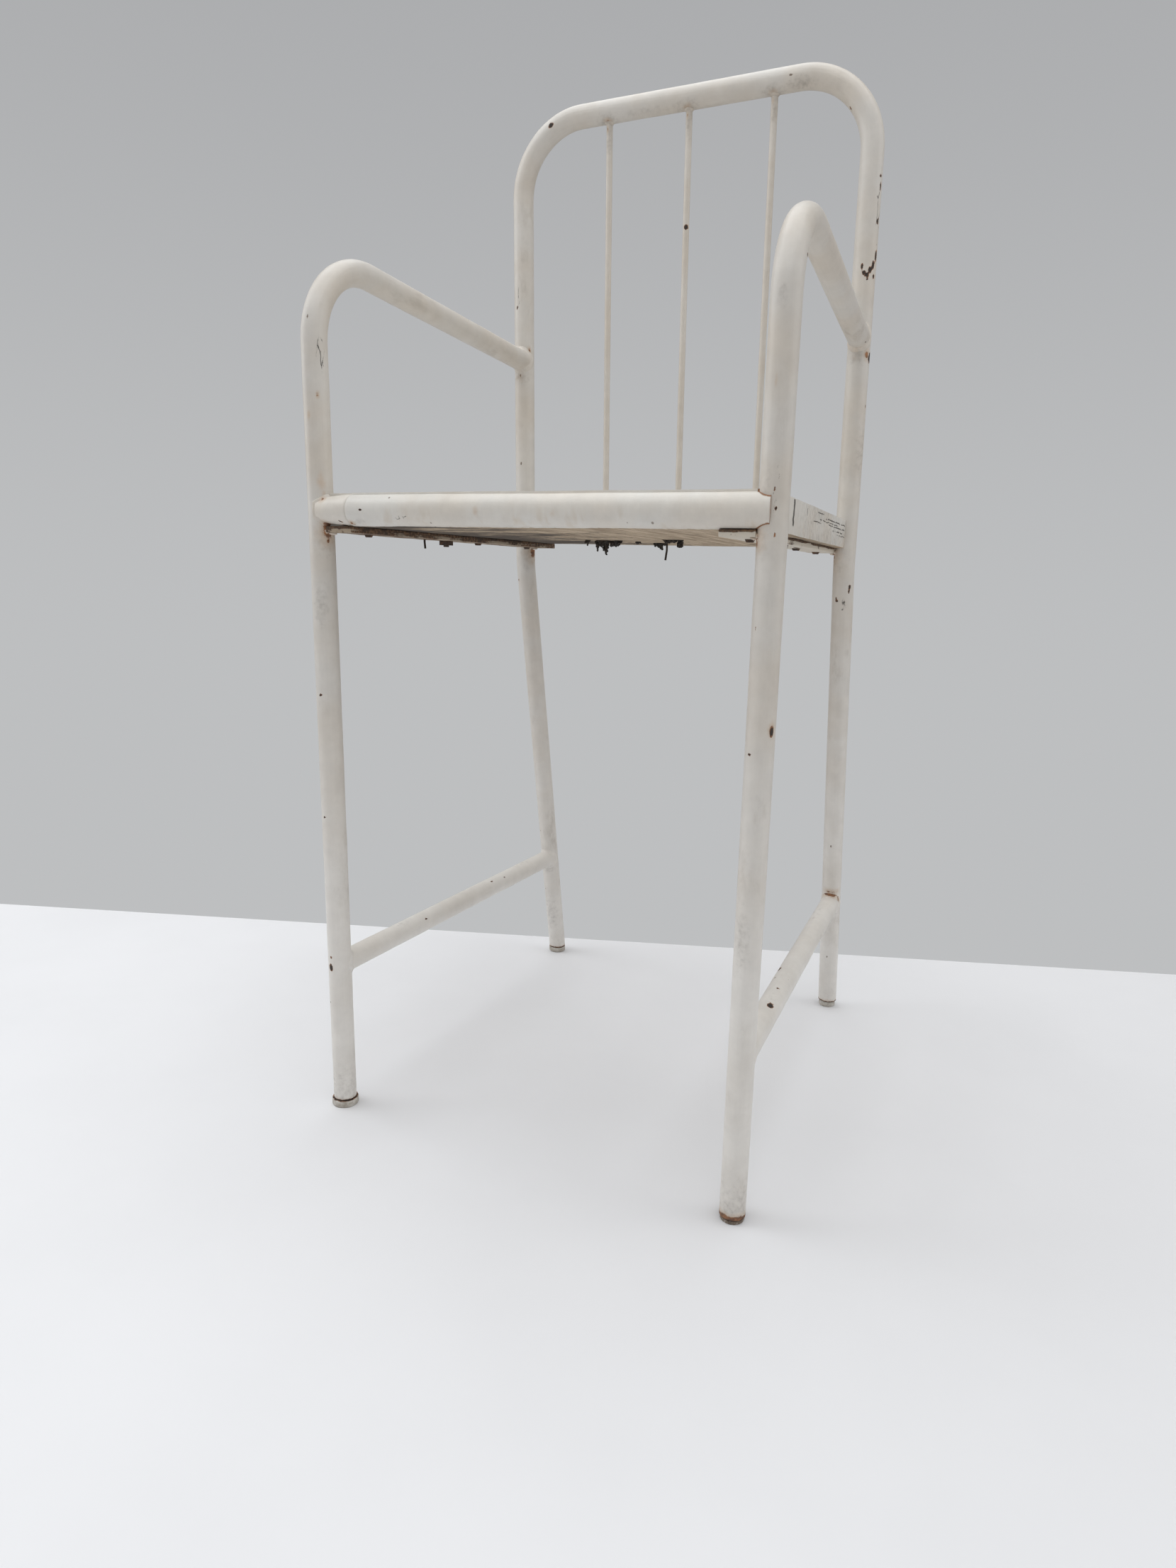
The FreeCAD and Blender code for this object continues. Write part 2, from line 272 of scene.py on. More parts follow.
class Graph:
    """Adds and links nodes in one shader or geometry tree."""

    def __init__(self, tree: NodeTree) -> None:
        """Work in this tree."""
        self.tree = tree

    def add(self, kind: str, feeds: dict | None = None, **settings: object) -> Node:
        """Add a node.

        Args:
            kind: the node's type name.
            feeds: value or socket for each input, by the input's name or number.
            **settings: properties to set on the node itself.

        Returns:
            The new node.
        """
        node = self.tree.nodes.new(kind)
        for name, value in settings.items():
            setattr(node, name, value)
        self.fill(node, feeds or {})
        return node

    def fill(self, node: Node, feeds: dict) -> None:
        """Link or set several of a node's inputs, by name or number."""
        for name, value in feeds.items():
            self.feed(node.inputs[name], value)

    def group(self, build: Callable[[], NodeTree], feeds: dict) -> Outputs:
        """Place a shared group with its inputs fed, and give its outputs."""
        return self.add("ShaderNodeGroup", feeds, node_tree=build()).outputs

    def feed(self, socket: Socket, value: object) -> None:
        """Link a socket into this one, or set its own value."""
        if isinstance(value, Socket):
            self.tree.links.new(value, socket)
        else:
            socket.default_value = value

    def sockets(self, direction: str, named: dict[str, tuple]) -> None:
        for name, (kind, default) in named.items():
            item = self.tree.interface.new_socket(name, in_out=direction, socket_type=kind)
            if default is not None:
                item.default_value = default

    def math(self, operation: str, *values: object, clamp: bool = False) -> Socket:
        """One arithmetic step."""
        return self.add("ShaderNodeMath", dict(enumerate(values)), operation=operation,
                        use_clamp=clamp).outputs[0]

    def times(self, a: object, b: object, clamp: bool = False) -> Socket:
        """One value times another."""
        return self.math("MULTIPLY", a, b, clamp=clamp)

    def plus(self, a: object, b: object) -> Socket:
        """One value plus another."""
        return self.math("ADD", a, b)

    def minus(self, a: object, b: object) -> Socket:
        """One value less another."""
        return self.math("SUBTRACT", a, b)

    def most(self, a: object, b: object) -> Socket:
        """The larger of two values."""
        return self.math("MAXIMUM", a, b)

    def line(self, value: object, by: object, start: object) -> Socket:
        """A value times a factor, on top of a start."""
        return self.math("MULTIPLY_ADD", value, by, start)

    def axes(self, vector: Socket) -> Outputs:
        """The x, y and z of a coordinate."""
        return self.add("ShaderNodeSeparateXYZ", {0: vector}).outputs

    def scaled(self, vector: Socket, by: tuple[float, float, float]) -> Socket:
        """A coordinate multiplied axis by axis."""
        node = self.add("ShaderNodeVectorMath", {0: vector, 1: by}, operation="MULTIPLY")
        return node.outputs["Vector"]

    def noise(self, vector: Socket, scale: float, detail: float = 3.0,
              rough: float = 0.55) -> Socket:
        """Cloudy noise from 0 to 1."""
        node = self.add("ShaderNodeTexNoise", {
            "Vector": vector, "Scale": scale, "Detail": detail, "Roughness": rough})
        return node.outputs[0]

    def step(self, value: Socket, low: float, high: float) -> Socket:
        """0 below low, 1 above high, and smooth between."""
        node = self.add("ShaderNodeMapRange", {
            "Value": value, "From Min": low, "From Max": high}, interpolation_type="SMOOTHSTEP")
        return node.outputs[0]

    def mix(self, factor: object, a: object, b: object, blend: str = "MIX") -> Socket:
        """Two colours blended."""
        return self.add("ShaderNodeMix", {0: factor, 6: a, 7: b}, data_type="RGBA",
                        blend_type=blend).outputs[2]

    def over(self, color: object, mask: object, strength: float, top: object) -> Socket:
        """A colour with another laid over it where a mask is."""
        return self.mix(self.times(mask, strength), color, top)


Rgba = tuple[float, float, float, float]


def rgb(r: float, g: float, b: float) -> Rgba:
    """An opaque colour."""
    return (r, g, b, 1.0)


PALE = rgb(0.8, 0.8, 0.8)
SOOT = rgb(0.035, 0.027, 0.022)
RUST_DARK = rgb(0.115, 0.043, 0.020)
RUST_LIGHT = rgb(0.34, 0.150, 0.060)
STAIN = rgb(0.50, 0.33, 0.19)
# colour of grime, also used as painted shade by a few grime marks
DIRT_AND_SHADE = rgb(0.135, 0.112, 0.090)
BARE_WOOD = rgb(0.59, 0.475, 0.345)
OLD_WOOD = rgb(0.27, 0.200, 0.130)


# ---- Shared shader groups


def new_group(name: str, inputs: dict[str, tuple], outputs: dict[str, tuple]) -> tuple:
    """Start a shader group with named sockets.

    Args:
        name: the group's name.
        inputs: input sockets as name: (type, default).
        outputs: output sockets as name: (type, default).

    Returns:
        The graph, the sockets that it is given and its output node.
    """
    graph = Graph(bpy.data.node_groups.new(name, "ShaderNodeTree"))
    graph.sockets("INPUT", inputs)
    graph.sockets("OUTPUT", outputs)
    return graph, graph.add("NodeGroupInput").outputs, graph.add("NodeGroupOutput")


FLOAT = "NodeSocketFloat"
COLOR = "NodeSocketColor"
VECTOR = "NodeSocketVector"


@cache
def aged_enamel_group() -> NodeTree:
    """Brush-laid cream enamel: uneven tone, brush marks, faint scuffs and small dark flecks."""
    graph, given, out = new_group("aged_enamel", {
        "Coordinate": (VECTOR, None), "Paint": (COLOR, PALE), "Aged Paint": (COLOR, PALE),
        "Scuffs": (FLOAT, 1.0), "Flecks": (FLOAT, 1.0)},
        {"Color": (COLOR, None), "Dirt": (FLOAT, None), "Height": (FLOAT, None)})
    where = given["Coordinate"]
    tone = graph.step(graph.noise(where, 13.0, 4.0), 0.36, 0.66)
    cloud = graph.noise(where, 75.0, 5.0, 0.62)
    brush = graph.noise(graph.scaled(where, (420.0, 420.0, 17.0)), 1.0, 3.0)
    both = graph.times(graph.line(cloud, 0.20, 0.89), graph.line(brush, 0.05, 0.975))
    grey = graph.add("ShaderNodeCombineColor", {0: both, 1: both, 2: both}).outputs[0]
    color = graph.mix(tone, given["Paint"], given["Aged Paint"])
    color = graph.mix(1.0, color, grey, "MULTIPLY")

    smear = graph.noise(graph.scaled(where, (58.0, 58.0, 24.0)), 1.0, 7.0, 0.66)
    patches = graph.step(graph.noise(where, 9.0, 2.0), 0.42, 0.62)
    scuff = graph.times(graph.times(graph.step(smear, 0.54, 0.74), patches), given["Scuffs"])
    color = graph.over(color, scuff, 0.42, rgb(0.40, 0.36, 0.31))

    cells = graph.add("ShaderNodeTexVoronoi", {
        "Vector": graph.scaled(where, (165.0, 165.0, 88.0)), "Scale": 1.0,
        "Randomness": 1.0}).outputs
    parts = graph.add("ShaderNodeSeparateColor", {0: cells["Color"]}).outputs
    wobble = graph.times(graph.noise(where, 900.0, 2.0), 0.10)
    near = graph.minus(graph.plus(graph.times(parts[1], 0.17), wobble), cells["Distance"])
    rare = graph.math("GREATER_THAN", parts[0], 0.955)
    fleck = graph.times(graph.step(near, 0.0, 0.05), rare)
    fleck = graph.times(fleck, given["Flecks"], clamp=True)
    color = graph.over(color, fleck, 0.85, rgb(0.13, 0.085, 0.055))

    peel = graph.noise(where, 520.0, 2.0)
    height = graph.plus(graph.times(brush, 0.55), graph.times(peel, 0.35))
    graph.fill(out, {"Color": color, "Dirt": graph.most(scuff, fleck),
                     "Height": graph.minus(height, graph.times(fleck, 0.8))})
    return graph.tree


@cache
def wear_group() -> NodeTree:
    """Chips, rust, grime with some painted shade, and hairline cracks laid over a finish from the
    mesh's wear fields.
    """
    graph, given, out = new_group("paint_wear", {
        "Coordinate": (VECTOR, None), "Color": (COLOR, PALE), "Chip": (FLOAT, 0.0),
        "Rust": (FLOAT, 0.0), "Grime": (FLOAT, 0.0), "Crack": (FLOAT, 0.0)},
        {"Color": (COLOR, None), "Bare": (FLOAT, None), "Height": (FLOAT, None)})
    where = given["Coordinate"]

    fine = graph.noise(where, 230.0, 6.0, 0.62)
    centred = graph.minus(fine, 0.5)
    # the grime field darkens towards this colour: dirt, and painted shade where a grime mark stands
    # for shadow
    grime = graph.line(centred, 1.1, given["Grime"])
    grime = graph.times(graph.step(grime, 0.10, 1.05), graph.step(given["Grime"], 0.0, 0.25))
    color = graph.over(given["Color"], grime, 0.62, DIRT_AND_SHADE)

    blotch = graph.noise(where, 120.0, 6.0, 0.65)
    ragged = graph.line(graph.minus(blotch, 0.5), 0.9, given["Rust"])
    gate = graph.step(given["Rust"], 0.0, 0.2)
    stain = graph.times(graph.step(ragged, 0.12, 0.80), gate)
    color = graph.over(color, stain, 0.50, STAIN)
    deep = graph.times(graph.step(ragged, 0.60, 0.74), gate)
    rust = graph.mix(graph.step(fine, 0.38, 0.66), RUST_DARK, RUST_LIGHT)
    color = graph.over(color, deep, 0.92, rust)

    edge = graph.minus(graph.noise(where, 330.0, 4.0), 0.5)
    edge = graph.line(edge, 0.62, given["Chip"])
    gate = graph.step(given["Chip"], 0.02, 0.12)
    rim = graph.times(graph.step(edge, 0.34, 0.40), gate)
    core = graph.times(graph.step(edge, 0.44, 0.54), gate)
    color = graph.mix(core, graph.over(color, rim, 0.95, rust), SOOT)

    drift = graph.add("ShaderNodeTexNoise", {
        "Vector": where, "Scale": 60.0, "Detail": 3.0}).outputs["Color"]
    bent = graph.add("ShaderNodeVectorMath", {0: drift, 1: (0.006, 0.006, 0.006), 2: where},
                     operation="MULTIPLY_ADD").outputs[0]
    cells = graph.add("ShaderNodeTexVoronoi", {
        "Vector": graph.scaled(bent, (210.0, 210.0, 42.0)), "Scale": 1.0},
        feature="DISTANCE_TO_EDGE").outputs["Distance"]
    broken = graph.step(graph.plus(given["Crack"], centred), 0.42, 0.60)
    broken = graph.times(broken, graph.step(given["Crack"], 0.0, 0.15))
    line = graph.times(graph.minus(1.0, graph.step(cells, 0.012, 0.060)), broken)
    color = graph.over(color, line, 0.90, SOOT)

    dips = graph.plus(graph.times(rim, -1.2), graph.times(line, -1.4))
    crust = graph.times(deep, graph.times(fine, 1.6))
    graph.fill(out, {"Color": color, "Height": graph.plus(dips, crust),
                     "Bare": graph.most(graph.most(rim, deep), graph.most(grime, line))})
    return graph.tree


@cache
def old_wood_group() -> NodeTree:
    """Bare, dirty board: grain that runs front to back, dark patches and pits."""
    graph, given, out = new_group("old_wood", {
        "Coordinate": (VECTOR, None), "Fresh": (COLOR, BARE_WOOD), "Dark": (COLOR, OLD_WOOD),
        "Filth": (COLOR, rgb(0.042, 0.030, 0.022))},
        {"Color": (COLOR, None), "Height": (FLOAT, None)})
    where = given["Coordinate"]
    grain = graph.noise(graph.scaled(where, (330.0, 14.0, 330.0)), 1.0, 5.0, 0.6)
    patch = graph.noise(where, 26.0, 6.0, 0.68)
    color = graph.mix(graph.step(grain, 0.34, 0.70), given["Dark"], given["Fresh"])
    color = graph.over(color, graph.step(patch, 0.60, 0.66), 0.85, rgb(0.040, 0.034, 0.030))
    cloud = graph.noise(graph.scaled(where, (16.0, 52.0, 16.0)), 1.0, 5.0, 0.62)
    side = graph.plus(graph.line(graph.axes(where)[0], -1.7, cloud), graph.times(grain, 0.35))
    color = graph.over(color, graph.step(side, 0.71, 0.84), 0.93, given["Filth"])
    pits = graph.noise(where, 420.0, 3.0)
    color = graph.over(color, graph.step(pits, 0.60, 0.72), 0.6, rgb(0.06, 0.045, 0.035))
    graph.fill(out, {"Color": color, "Height": graph.plus(grain, pits)})
    return graph.tree


# ---- Finishes


class Space(Enum):
    """Where a finish takes its coordinates from."""

    PATH = "path_coord"
    OBJECT = "object"


def start_material(name: str) -> tuple[Material, Graph, Node]:
    """An empty material with its graph and its Principled shader."""
    material = bpy.data.materials.new(name)
    material.use_nodes = True
    material.node_tree.nodes.clear()
    graph = Graph(material.node_tree)
    shader = graph.add("ShaderNodeBsdfPrincipled")
    graph.add("ShaderNodeOutputMaterial", {"Surface": shader.outputs[0]})
    return material, graph, shader


def coordinate(graph: Graph, space: Space) -> Socket:
    """The coordinate socket for a space."""
    if space is Space.PATH:
        return graph.add("ShaderNodeAttribute", attribute_name=space.value).outputs["Vector"]
    return graph.add("ShaderNodeTexCoord").outputs["Object"]


def worn(graph: Graph, where: Socket, color: Socket) -> Outputs:
    """The shared wear laid over a colour, driven by the mesh's wear fields."""
    feeds = {"Coordinate": where, "Color": color}
    for kind in Wear:
        layer = graph.add("ShaderNodeAttribute", attribute_name=kind.value)
        feeds[kind.name.title()] = layer.outputs["Fac"]
    return graph.group(wear_group, feeds)


def dress(graph: Graph, shader: Node, color: Socket, rough: object, height: Socket,
          strength: float, depth: float) -> None:
    """Give a shader its colour, roughness and relief.

    Args:
        graph: the material's graph.
        shader: its Principled shader.
        color: colour over the surface.
        rough: roughness over the surface.
        height: relief over the surface.
        strength: how much of the relief shows.
        depth: height of a relief of 1.
    """
    bump = graph.add("ShaderNodeBump", {"Height": height, "Strength": strength, "Distance": depth})
    graph.fill(shader, {"Base Color": color, "Roughness": rough, "Normal": bump.outputs[0]})


@dataclass(frozen=True)
class Enamel:
    """Old brush-laid enamel on metal, lightened low down by painted floor bounce light.

    Attributes:
        name: the material's name.
        paint: colour of clean paint.
        aged: colour where it has yellowed.
        fresh: paint colour near the floor, lighter as painted light bounced off the floor.
        space: what its pattern follows.
        scuffs: how many grey smears it has.
        flecks: how many small dark flecks it has.
        gloss: base roughness.
    """

    name: str
    paint: Rgba = rgb(0.635, 0.607, 0.565)
    aged: Rgba = rgb(0.605, 0.555, 0.490)
    fresh: Rgba = rgb(0.780, 0.755, 0.715)
    space: Space = Space.PATH
    scuffs: float = 1.0
    flecks: float = 1.0
    gloss: float = 0.38

    def build(self) -> Material:
        """Build the material."""
        material, graph, shader = start_material(self.name)
        where = coordinate(graph, self.space)
        # painted light: towards the floor the paint turns lighter, standing in for light bounced
        # off the floor
        low = graph.step(graph.axes(coordinate(graph, Space.OBJECT))[2], 0.52, 0.08)
        enamel = graph.group(aged_enamel_group, {
            "Coordinate": where, "Paint": graph.mix(low, self.paint, self.fresh),
            "Aged Paint": graph.mix(graph.times(low, 0.72), self.aged, self.fresh),
            "Scuffs": self.scuffs, "Flecks": self.flecks})
        wear = worn(graph, where, enamel["Color"])
        rough = graph.line(graph.most(wear["Bare"], enamel["Dirt"]), 0.42, self.gloss)
        height = graph.plus(enamel["Height"], wear["Height"])
        dress(graph, shader, wear["Color"], rough, height, 0.55, 0.00035)
        return material


@dataclass(frozen=True)
class PaintedBoard:
    """Enamel over an old board: bare and dirty below, split along the grain at its sides.

    Attributes:
        name: the material's name.
        nose_y: where the paint ends on the underside.
        leg_gap: point and direction of the leg that the nose is fitted round, and its radius.
        side_cracks: y, lowest z, highest z and half width of upright cracks on the right side.
        splits: z, first y, last y and half width of the splits along the board's sides.
    """

    name: str
    nose_y: float
    leg_gap: tuple[Vector, Vector, float]
    side_cracks: tuple[tuple[float, float, float, float], ...] = ()
    splits: tuple[tuple[float, float, float, float], ...] = (
        (0.5305, -0.015, 0.102, 0.00050), (0.5281, -0.045, 0.062, 0.00040),
        (0.5262, 0.000, 0.102, 0.00052), (0.5229, 0.022, 0.102, 0.00050),
        (0.5329, -0.056, -0.020, 0.00036), (0.5254, -0.072, -0.030, 0.00038),
        (0.5203, 0.050, 0.102, 0.00038))

    def build(self) -> Material:
        """Build the material."""
        material, graph, shader = start_material(self.name)
        where = coordinate(graph, Space.OBJECT)
        facing = graph.axes(graph.add("ShaderNodeNewGeometry").outputs["True Normal"])
        enamel = graph.group(aged_enamel_group, {
            "Coordinate": where, "Paint": rgb(0.680, 0.662, 0.622),
            "Aged Paint": rgb(0.665, 0.620, 0.555), "Scuffs": 0.7, "Flecks": 0.8})

        drip = graph.noise(graph.scaled(where, (85.0, 60.0, 22.0)), 1.0, 4.0)
        bottom, top = (corner[2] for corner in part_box("seat_board"))
        low = graph.step(graph.axes(where)[2], (bottom + top) / 2.0 + 0.006, bottom + 0.002)
        tea = graph.times(graph.step(drip, 0.52, 0.72), low)
        color = graph.over(enamel["Color"], tea, 0.38, rgb(0.52, 0.42, 0.30))
        split = self.split_mask(graph, where, facing[0])
        color = graph.over(color, split, 0.92, SOOT)

        rag = graph.minus(graph.noise(where, 210.0, 5.0), 0.5)
        below = graph.step(graph.times(facing[2], -1.0), 0.75, 0.85)
        unpainted = graph.step(graph.line(rag, 0.010, graph.axes(where)[1]),
                               self.nose_y - 0.001, self.nose_y + 0.001)
        bare = graph.times(below, unpainted)
        wood = graph.group(old_wood_group, {"Coordinate": where})
        color = graph.mix(bare, color, wood["Color"])
        gap = self.gap_line(graph, where, rag)
        wear = worn(graph, where, graph.mix(gap, color, rgb(0.25, 0.105, 0.035)))
        dull = graph.most(graph.most(wear["Bare"], bare), graph.most(enamel["Dirt"], split))
        height = graph.plus(enamel["Height"], wear["Height"])
        for mask in (split, gap):
            height = graph.minus(height, graph.times(mask, 1.5))
        height = graph.plus(height, graph.times(bare, wood["Height"]))
        dress(graph, shader, wear["Color"], graph.line(dull, 0.50, 0.36), height, 0.6, 0.0004)
        return material

    def split_mask(self, graph: Graph, where: Socket, sideways: Socket) -> Socket:
        """Mask of the splits and cracks in the board's sides.

        Args:
            graph: the material's graph.
            where: place on the board.
            sideways: how far the surface faces left or right.

        Returns:
            The mask, 1 inside a split.
        """
        x, y, z = graph.axes(where)
        side = graph.step(graph.math("ABSOLUTE", sideways), 0.55, 0.75)
        sway = graph.minus(graph.noise(graph.scaled(where, (0.0, 48.0, 0.0)), 1.0, 4.0), 0.5)
        breaks = graph.step(graph.noise(graph.scaled(where, (0.0, 120.0, 500.0)), 1.0, 2.0),
                            0.40, 0.50)
        mask = graph.times(side, 0.0)
        for level, first, last, half in self.splits:
            off = graph.math("ABSOLUTE", graph.plus(graph.minus(z, level),
                                                    graph.times(sway, 0.0034)))
            line = graph.minus(1.0, graph.step(off, half * 0.6, half * 1.5))
            span = graph.times(graph.step(y, first, first + 0.008),
                               graph.step(y, last, last - 0.008))
            line = graph.times(graph.times(line, span), side)
            mask = graph.most(mask, graph.times(line, breaks))
        for y_crack, low, high, half in self.side_cracks:
            bend = graph.noise(graph.scaled(where, (0.0, 30.0, 150.0)), 1.0, 3.0)
            bent = graph.line(graph.minus(bend, 0.5), 0.0075, y)
            off = graph.math("ABSOLUTE", graph.minus(bent, y_crack))
            crack = graph.minus(1.0, graph.step(off, half * 0.7, half * 1.4))
            span = graph.times(graph.step(z, low, low + 0.002), graph.step(z, high, high - 0.001))
            span = graph.times(span, graph.step(x, 0.0, 0.01))
            mask = graph.most(mask, graph.times(graph.times(crack, span), side))
        return mask

    def gap_line(self, graph: Graph, where: Socket, rag: Socket) -> Socket:
        """Mask of the ragged brown gap between the nose and the leg that it meets."""
        point, along, radius = self.leg_gap
        steps = (("SUBTRACT", point), ("CROSS_PRODUCT", along), ("LENGTH", None))
        away = where
        for operation, other in steps:
            feeds = {0: away} if other is None else {0: away, 1: other}
            node = graph.add("ShaderNodeVectorMath", feeds, operation=operation)
            away = node.outputs["Value" if other is None else "Vector"]
        edge = graph.line(rag, 0.0022, away)
        return graph.step(edge, radius + 0.0012, radius + 0.0006)


@dataclass(frozen=True)
class RustySteel:
    """Old steel with remains of paint.

    Attributes:
        name: the material's name.
        paint_left: how much of it is still painted, from 0 to 1.
        dark: colour of the oldest rust.
        light: colour of the freshest rust.
        paint: colour of the remaining paint.
        seam: height above which the paint has come off, or 0 for none.
    """

    name: str
    paint_left: float = 0.0
    dark: Rgba = rgb(0.070, 0.042, 0.027)
    light: Rgba = rgb(0.235, 0.135, 0.072)
    paint: Rgba = rgb(0.60, 0.545, 0.46)
    seam: float = 0.0

    def build(self) -> Material:
        """Build the material."""
        material, graph, shader = start_material(self.name)
        where = coordinate(graph, Space.OBJECT)
        fine = graph.noise(where, 420.0, 6.0, 0.65)
        broad = graph.noise(where, 60.0, 5.0)
        color = graph.mix(graph.step(fine, 0.40, 0.66), self.dark, self.light)
        color = graph.over(color, graph.step(broad, 0.50, 0.66), 0.75, rgb(0.050, 0.038, 0.030))
        streaks = graph.noise(graph.scaled(where, (130.0, 24.0, 110.0)), 1.0, 5.0, 0.6)
        flakes = graph.plus(graph.times(streaks, 0.84), graph.times(fine, 0.16))
        if self.seam:
            top = graph.step(graph.axes(where)[2], self.seam - 0.0008, self.seam + 0.0008)
            flakes = graph.minus(flakes, graph.times(top, 0.30))
        edge = 0.72 - 0.42 * self.paint_left
        left = graph.step(flakes, edge - 0.02, edge + 0.06)
        color = graph.mix(left, color, self.paint)
        height = graph.plus(fine, graph.times(left, 0.7))
        dress(graph, shader, color, graph.line(left, -0.25, 0.80), height, 0.8, 0.0004)
        return material


@dataclass(frozen=True)
class OldRubber:
    """Hard grey rubber or plastic of a foot plug, scuffed and dusty.

    Attributes:
        name: the material's name.
        color: its main colour.
        stain: colour of the dirt in it.
    """

    name: str
    color: Rgba = rgb(0.58, 0.555, 0.51)
    stain: Rgba = rgb(0.33, 0.290, 0.240)

    def build(self) -> Material:
        """Build the material."""
        material, graph, shader = start_material(self.name)
        where = coordinate(graph, Space.OBJECT)
        fine = graph.noise(where, 700.0, 5.0, 0.6)
        broad = graph.noise(where, 110.0, 5.0, 0.62)
        color = graph.mix(graph.step(broad, 0.36, 0.68), self.color, self.stain)
        color = graph.over(color, graph.step(fine, 0.52, 0.66), 0.45, rgb(0.60, 0.58, 0.55))
        wear = worn(graph, where, color)
        dress(graph, shader, wear["Color"], graph.line(fine, 0.25, 0.62),
              graph.plus(fine, broad), 0.5, 0.0003)
        return material


@dataclass(frozen=True)
class Plain:
    """Matt paint of the floor, very slightly uneven."""

    name: str
    color: Rgba
    roughness: float = 0.7

    def build(self) -> Material:
        """Build the material."""
        material, graph, shader = start_material(self.name)
        soft = graph.step(graph.noise(coordinate(graph, Space.OBJECT), 3.0, 4.0), 0.3, 0.7)
        darker = tuple(0.965 * c for c in self.color[:3]) + (1.0,)
        graph.fill(shader, {"Base Color": graph.mix(soft, self.color, darker),
                            "Roughness": self.roughness, "Specular IOR Level": 0.25})
        return material


# ---- Meshes


@dataclass
class Shape:
    """Vertices and faces that become one mesh."""

    vertices: list[Vector] = field(default_factory=list)
    faces: list[tuple[int, ...]] = field(default_factory=list)

    def add(self, other: "Shape") -> None:
        """Take in another shape's vertices and faces."""
        start = len(self.vertices)
        self.vertices.extend(other.vertices)
        self.faces.extend(tuple(start + i for i in f) for f in other.faces)

    def strip(self, first: int, rings: int, around: int, close: bool = True) -> None:
        """Quads between rings of vertices that start at index first."""
        last = around if close else around - 1
        for i in range(rings - 1):
            for j in range(last):
                a = first + i * around + j
                b = first + i * around + (j + 1) % around
                self.faces.append((a, b, b + around, a + around))

    def roughen(self, amount: float, scale: float, seed: float) -> "Shape":
        """Move each vertex a little, by smooth noise."""
        shift = Vector((seed, seed * 1.7, seed * 0.3))
        for p in self.vertices:
            p += noise.noise_vector(p * scale + shift) * amount
        return self


def placed(name: str, data: bpy.types.ID) -> bpy.types.Object:
    """A new object of the scene."""
    thing = bpy.data.objects.new(name, data)
    bpy.context.collection.objects.link(thing)
    return thing


def add_piece(name: str, mesh: Mesh, material: Material | None,
              nodes: Sequence[str], marks: Sequence[Mark] = ()) -> None:
    """Put a finished mesh in the scene as a piece of the chair.

    Args:
        name: the piece's name.
        mesh: its mesh, already in place.
        material: its material, or None if the mesh has one already.
        nodes: CAD nodes that it stands for.
        marks: its worn places.
    """
    piece = placed(name, mesh)
    if material is not None:
        mesh.materials.clear()
        mesh.materials.append(material)
    write_wear(mesh, marks)
    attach(piece, BODY)
    if nodes:
        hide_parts(*nodes)
    LOG.info("%s: %d faces", name, len(mesh.polygons))


def mesh_of(name: str, shape: Shape, bevel: float = 0.0, sharp_deg: float = 40.0) -> Mesh:
    """A mesh with outward normals from a shape.

    Args:
        name: the mesh's name.
        shape: its vertices and faces.
        bevel: width of the rounding along its sharp edges.
        sharp_deg: edges that turn more than this stay sharp.

    Returns:
        The mesh.
    """
    mesh = bpy.data.meshes.new(name)
    mesh.from_pydata([tuple(v) for v in shape.vertices], [], shape.faces)
    work = bmesh.new()
    work.from_mesh(mesh)
    bmesh.ops.remove_doubles(work, verts=work.verts, dist=1e-6)
    bmesh.ops.recalc_face_normals(work, faces=work.faces)
    work.to_mesh(mesh)
    work.free()
    if bevel:
        holder = placed(name + "_raw", mesh)
        modifier = holder.modifiers.new("round_edges", "BEVEL")
        modifier.width = bevel
        modifier.segments = 2
        modifier.limit_method = "ANGLE"
        modifier.angle_limit = math.radians(sharp_deg)
        graph = bpy.context.evaluated_depsgraph_get()
        rounded = bpy.data.meshes.new_from_object(holder.evaluated_get(graph), depsgraph=graph)
        bpy.data.objects.remove(holder)
        mesh = rounded
        mesh.name = name
    mesh.shade_smooth()
    mesh.set_sharp_from_angle(angle=math.radians(sharp_deg))
    return mesh


def turned(profile: Sequence[tuple[float, float]], origin: Vector, axis: Vector,
           around: int = 72, flutes: int = 0, flute_depth: float = 0.0) -> Shape:
    """A turned solid.

    Args:
        profile: (radius, height) pairs; the first and last have radius 0.
        origin: where height 0 is.
        axis: direction of the height.
        around: points round it.
        flutes: number of shallow grooves in its widest part.
        flute_depth: depth of those grooves.

    Returns:
        The closed shape.
    """
    axis = axis.normalized()
    e1 = axis.orthogonal().normalized()
    e2 = axis.cross(e1)
    widest = max(r for r, _ in profile)
    shape = Shape()
    for r, h in profile:
        for j in range(around):
            turn = 2.0 * math.pi * j / around
            cut = flute_depth * (0.5 + 0.5 * math.cos(flutes * turn)) if flutes else 0.0
            radius = r - cut if r > widest - 0.0004 else r
            shape.vertices.append(
                origin + axis * h + (e1 * math.cos(turn) + e2 * math.sin(turn)) * radius)
    shape.strip(0, len(profile), around)
    return shape


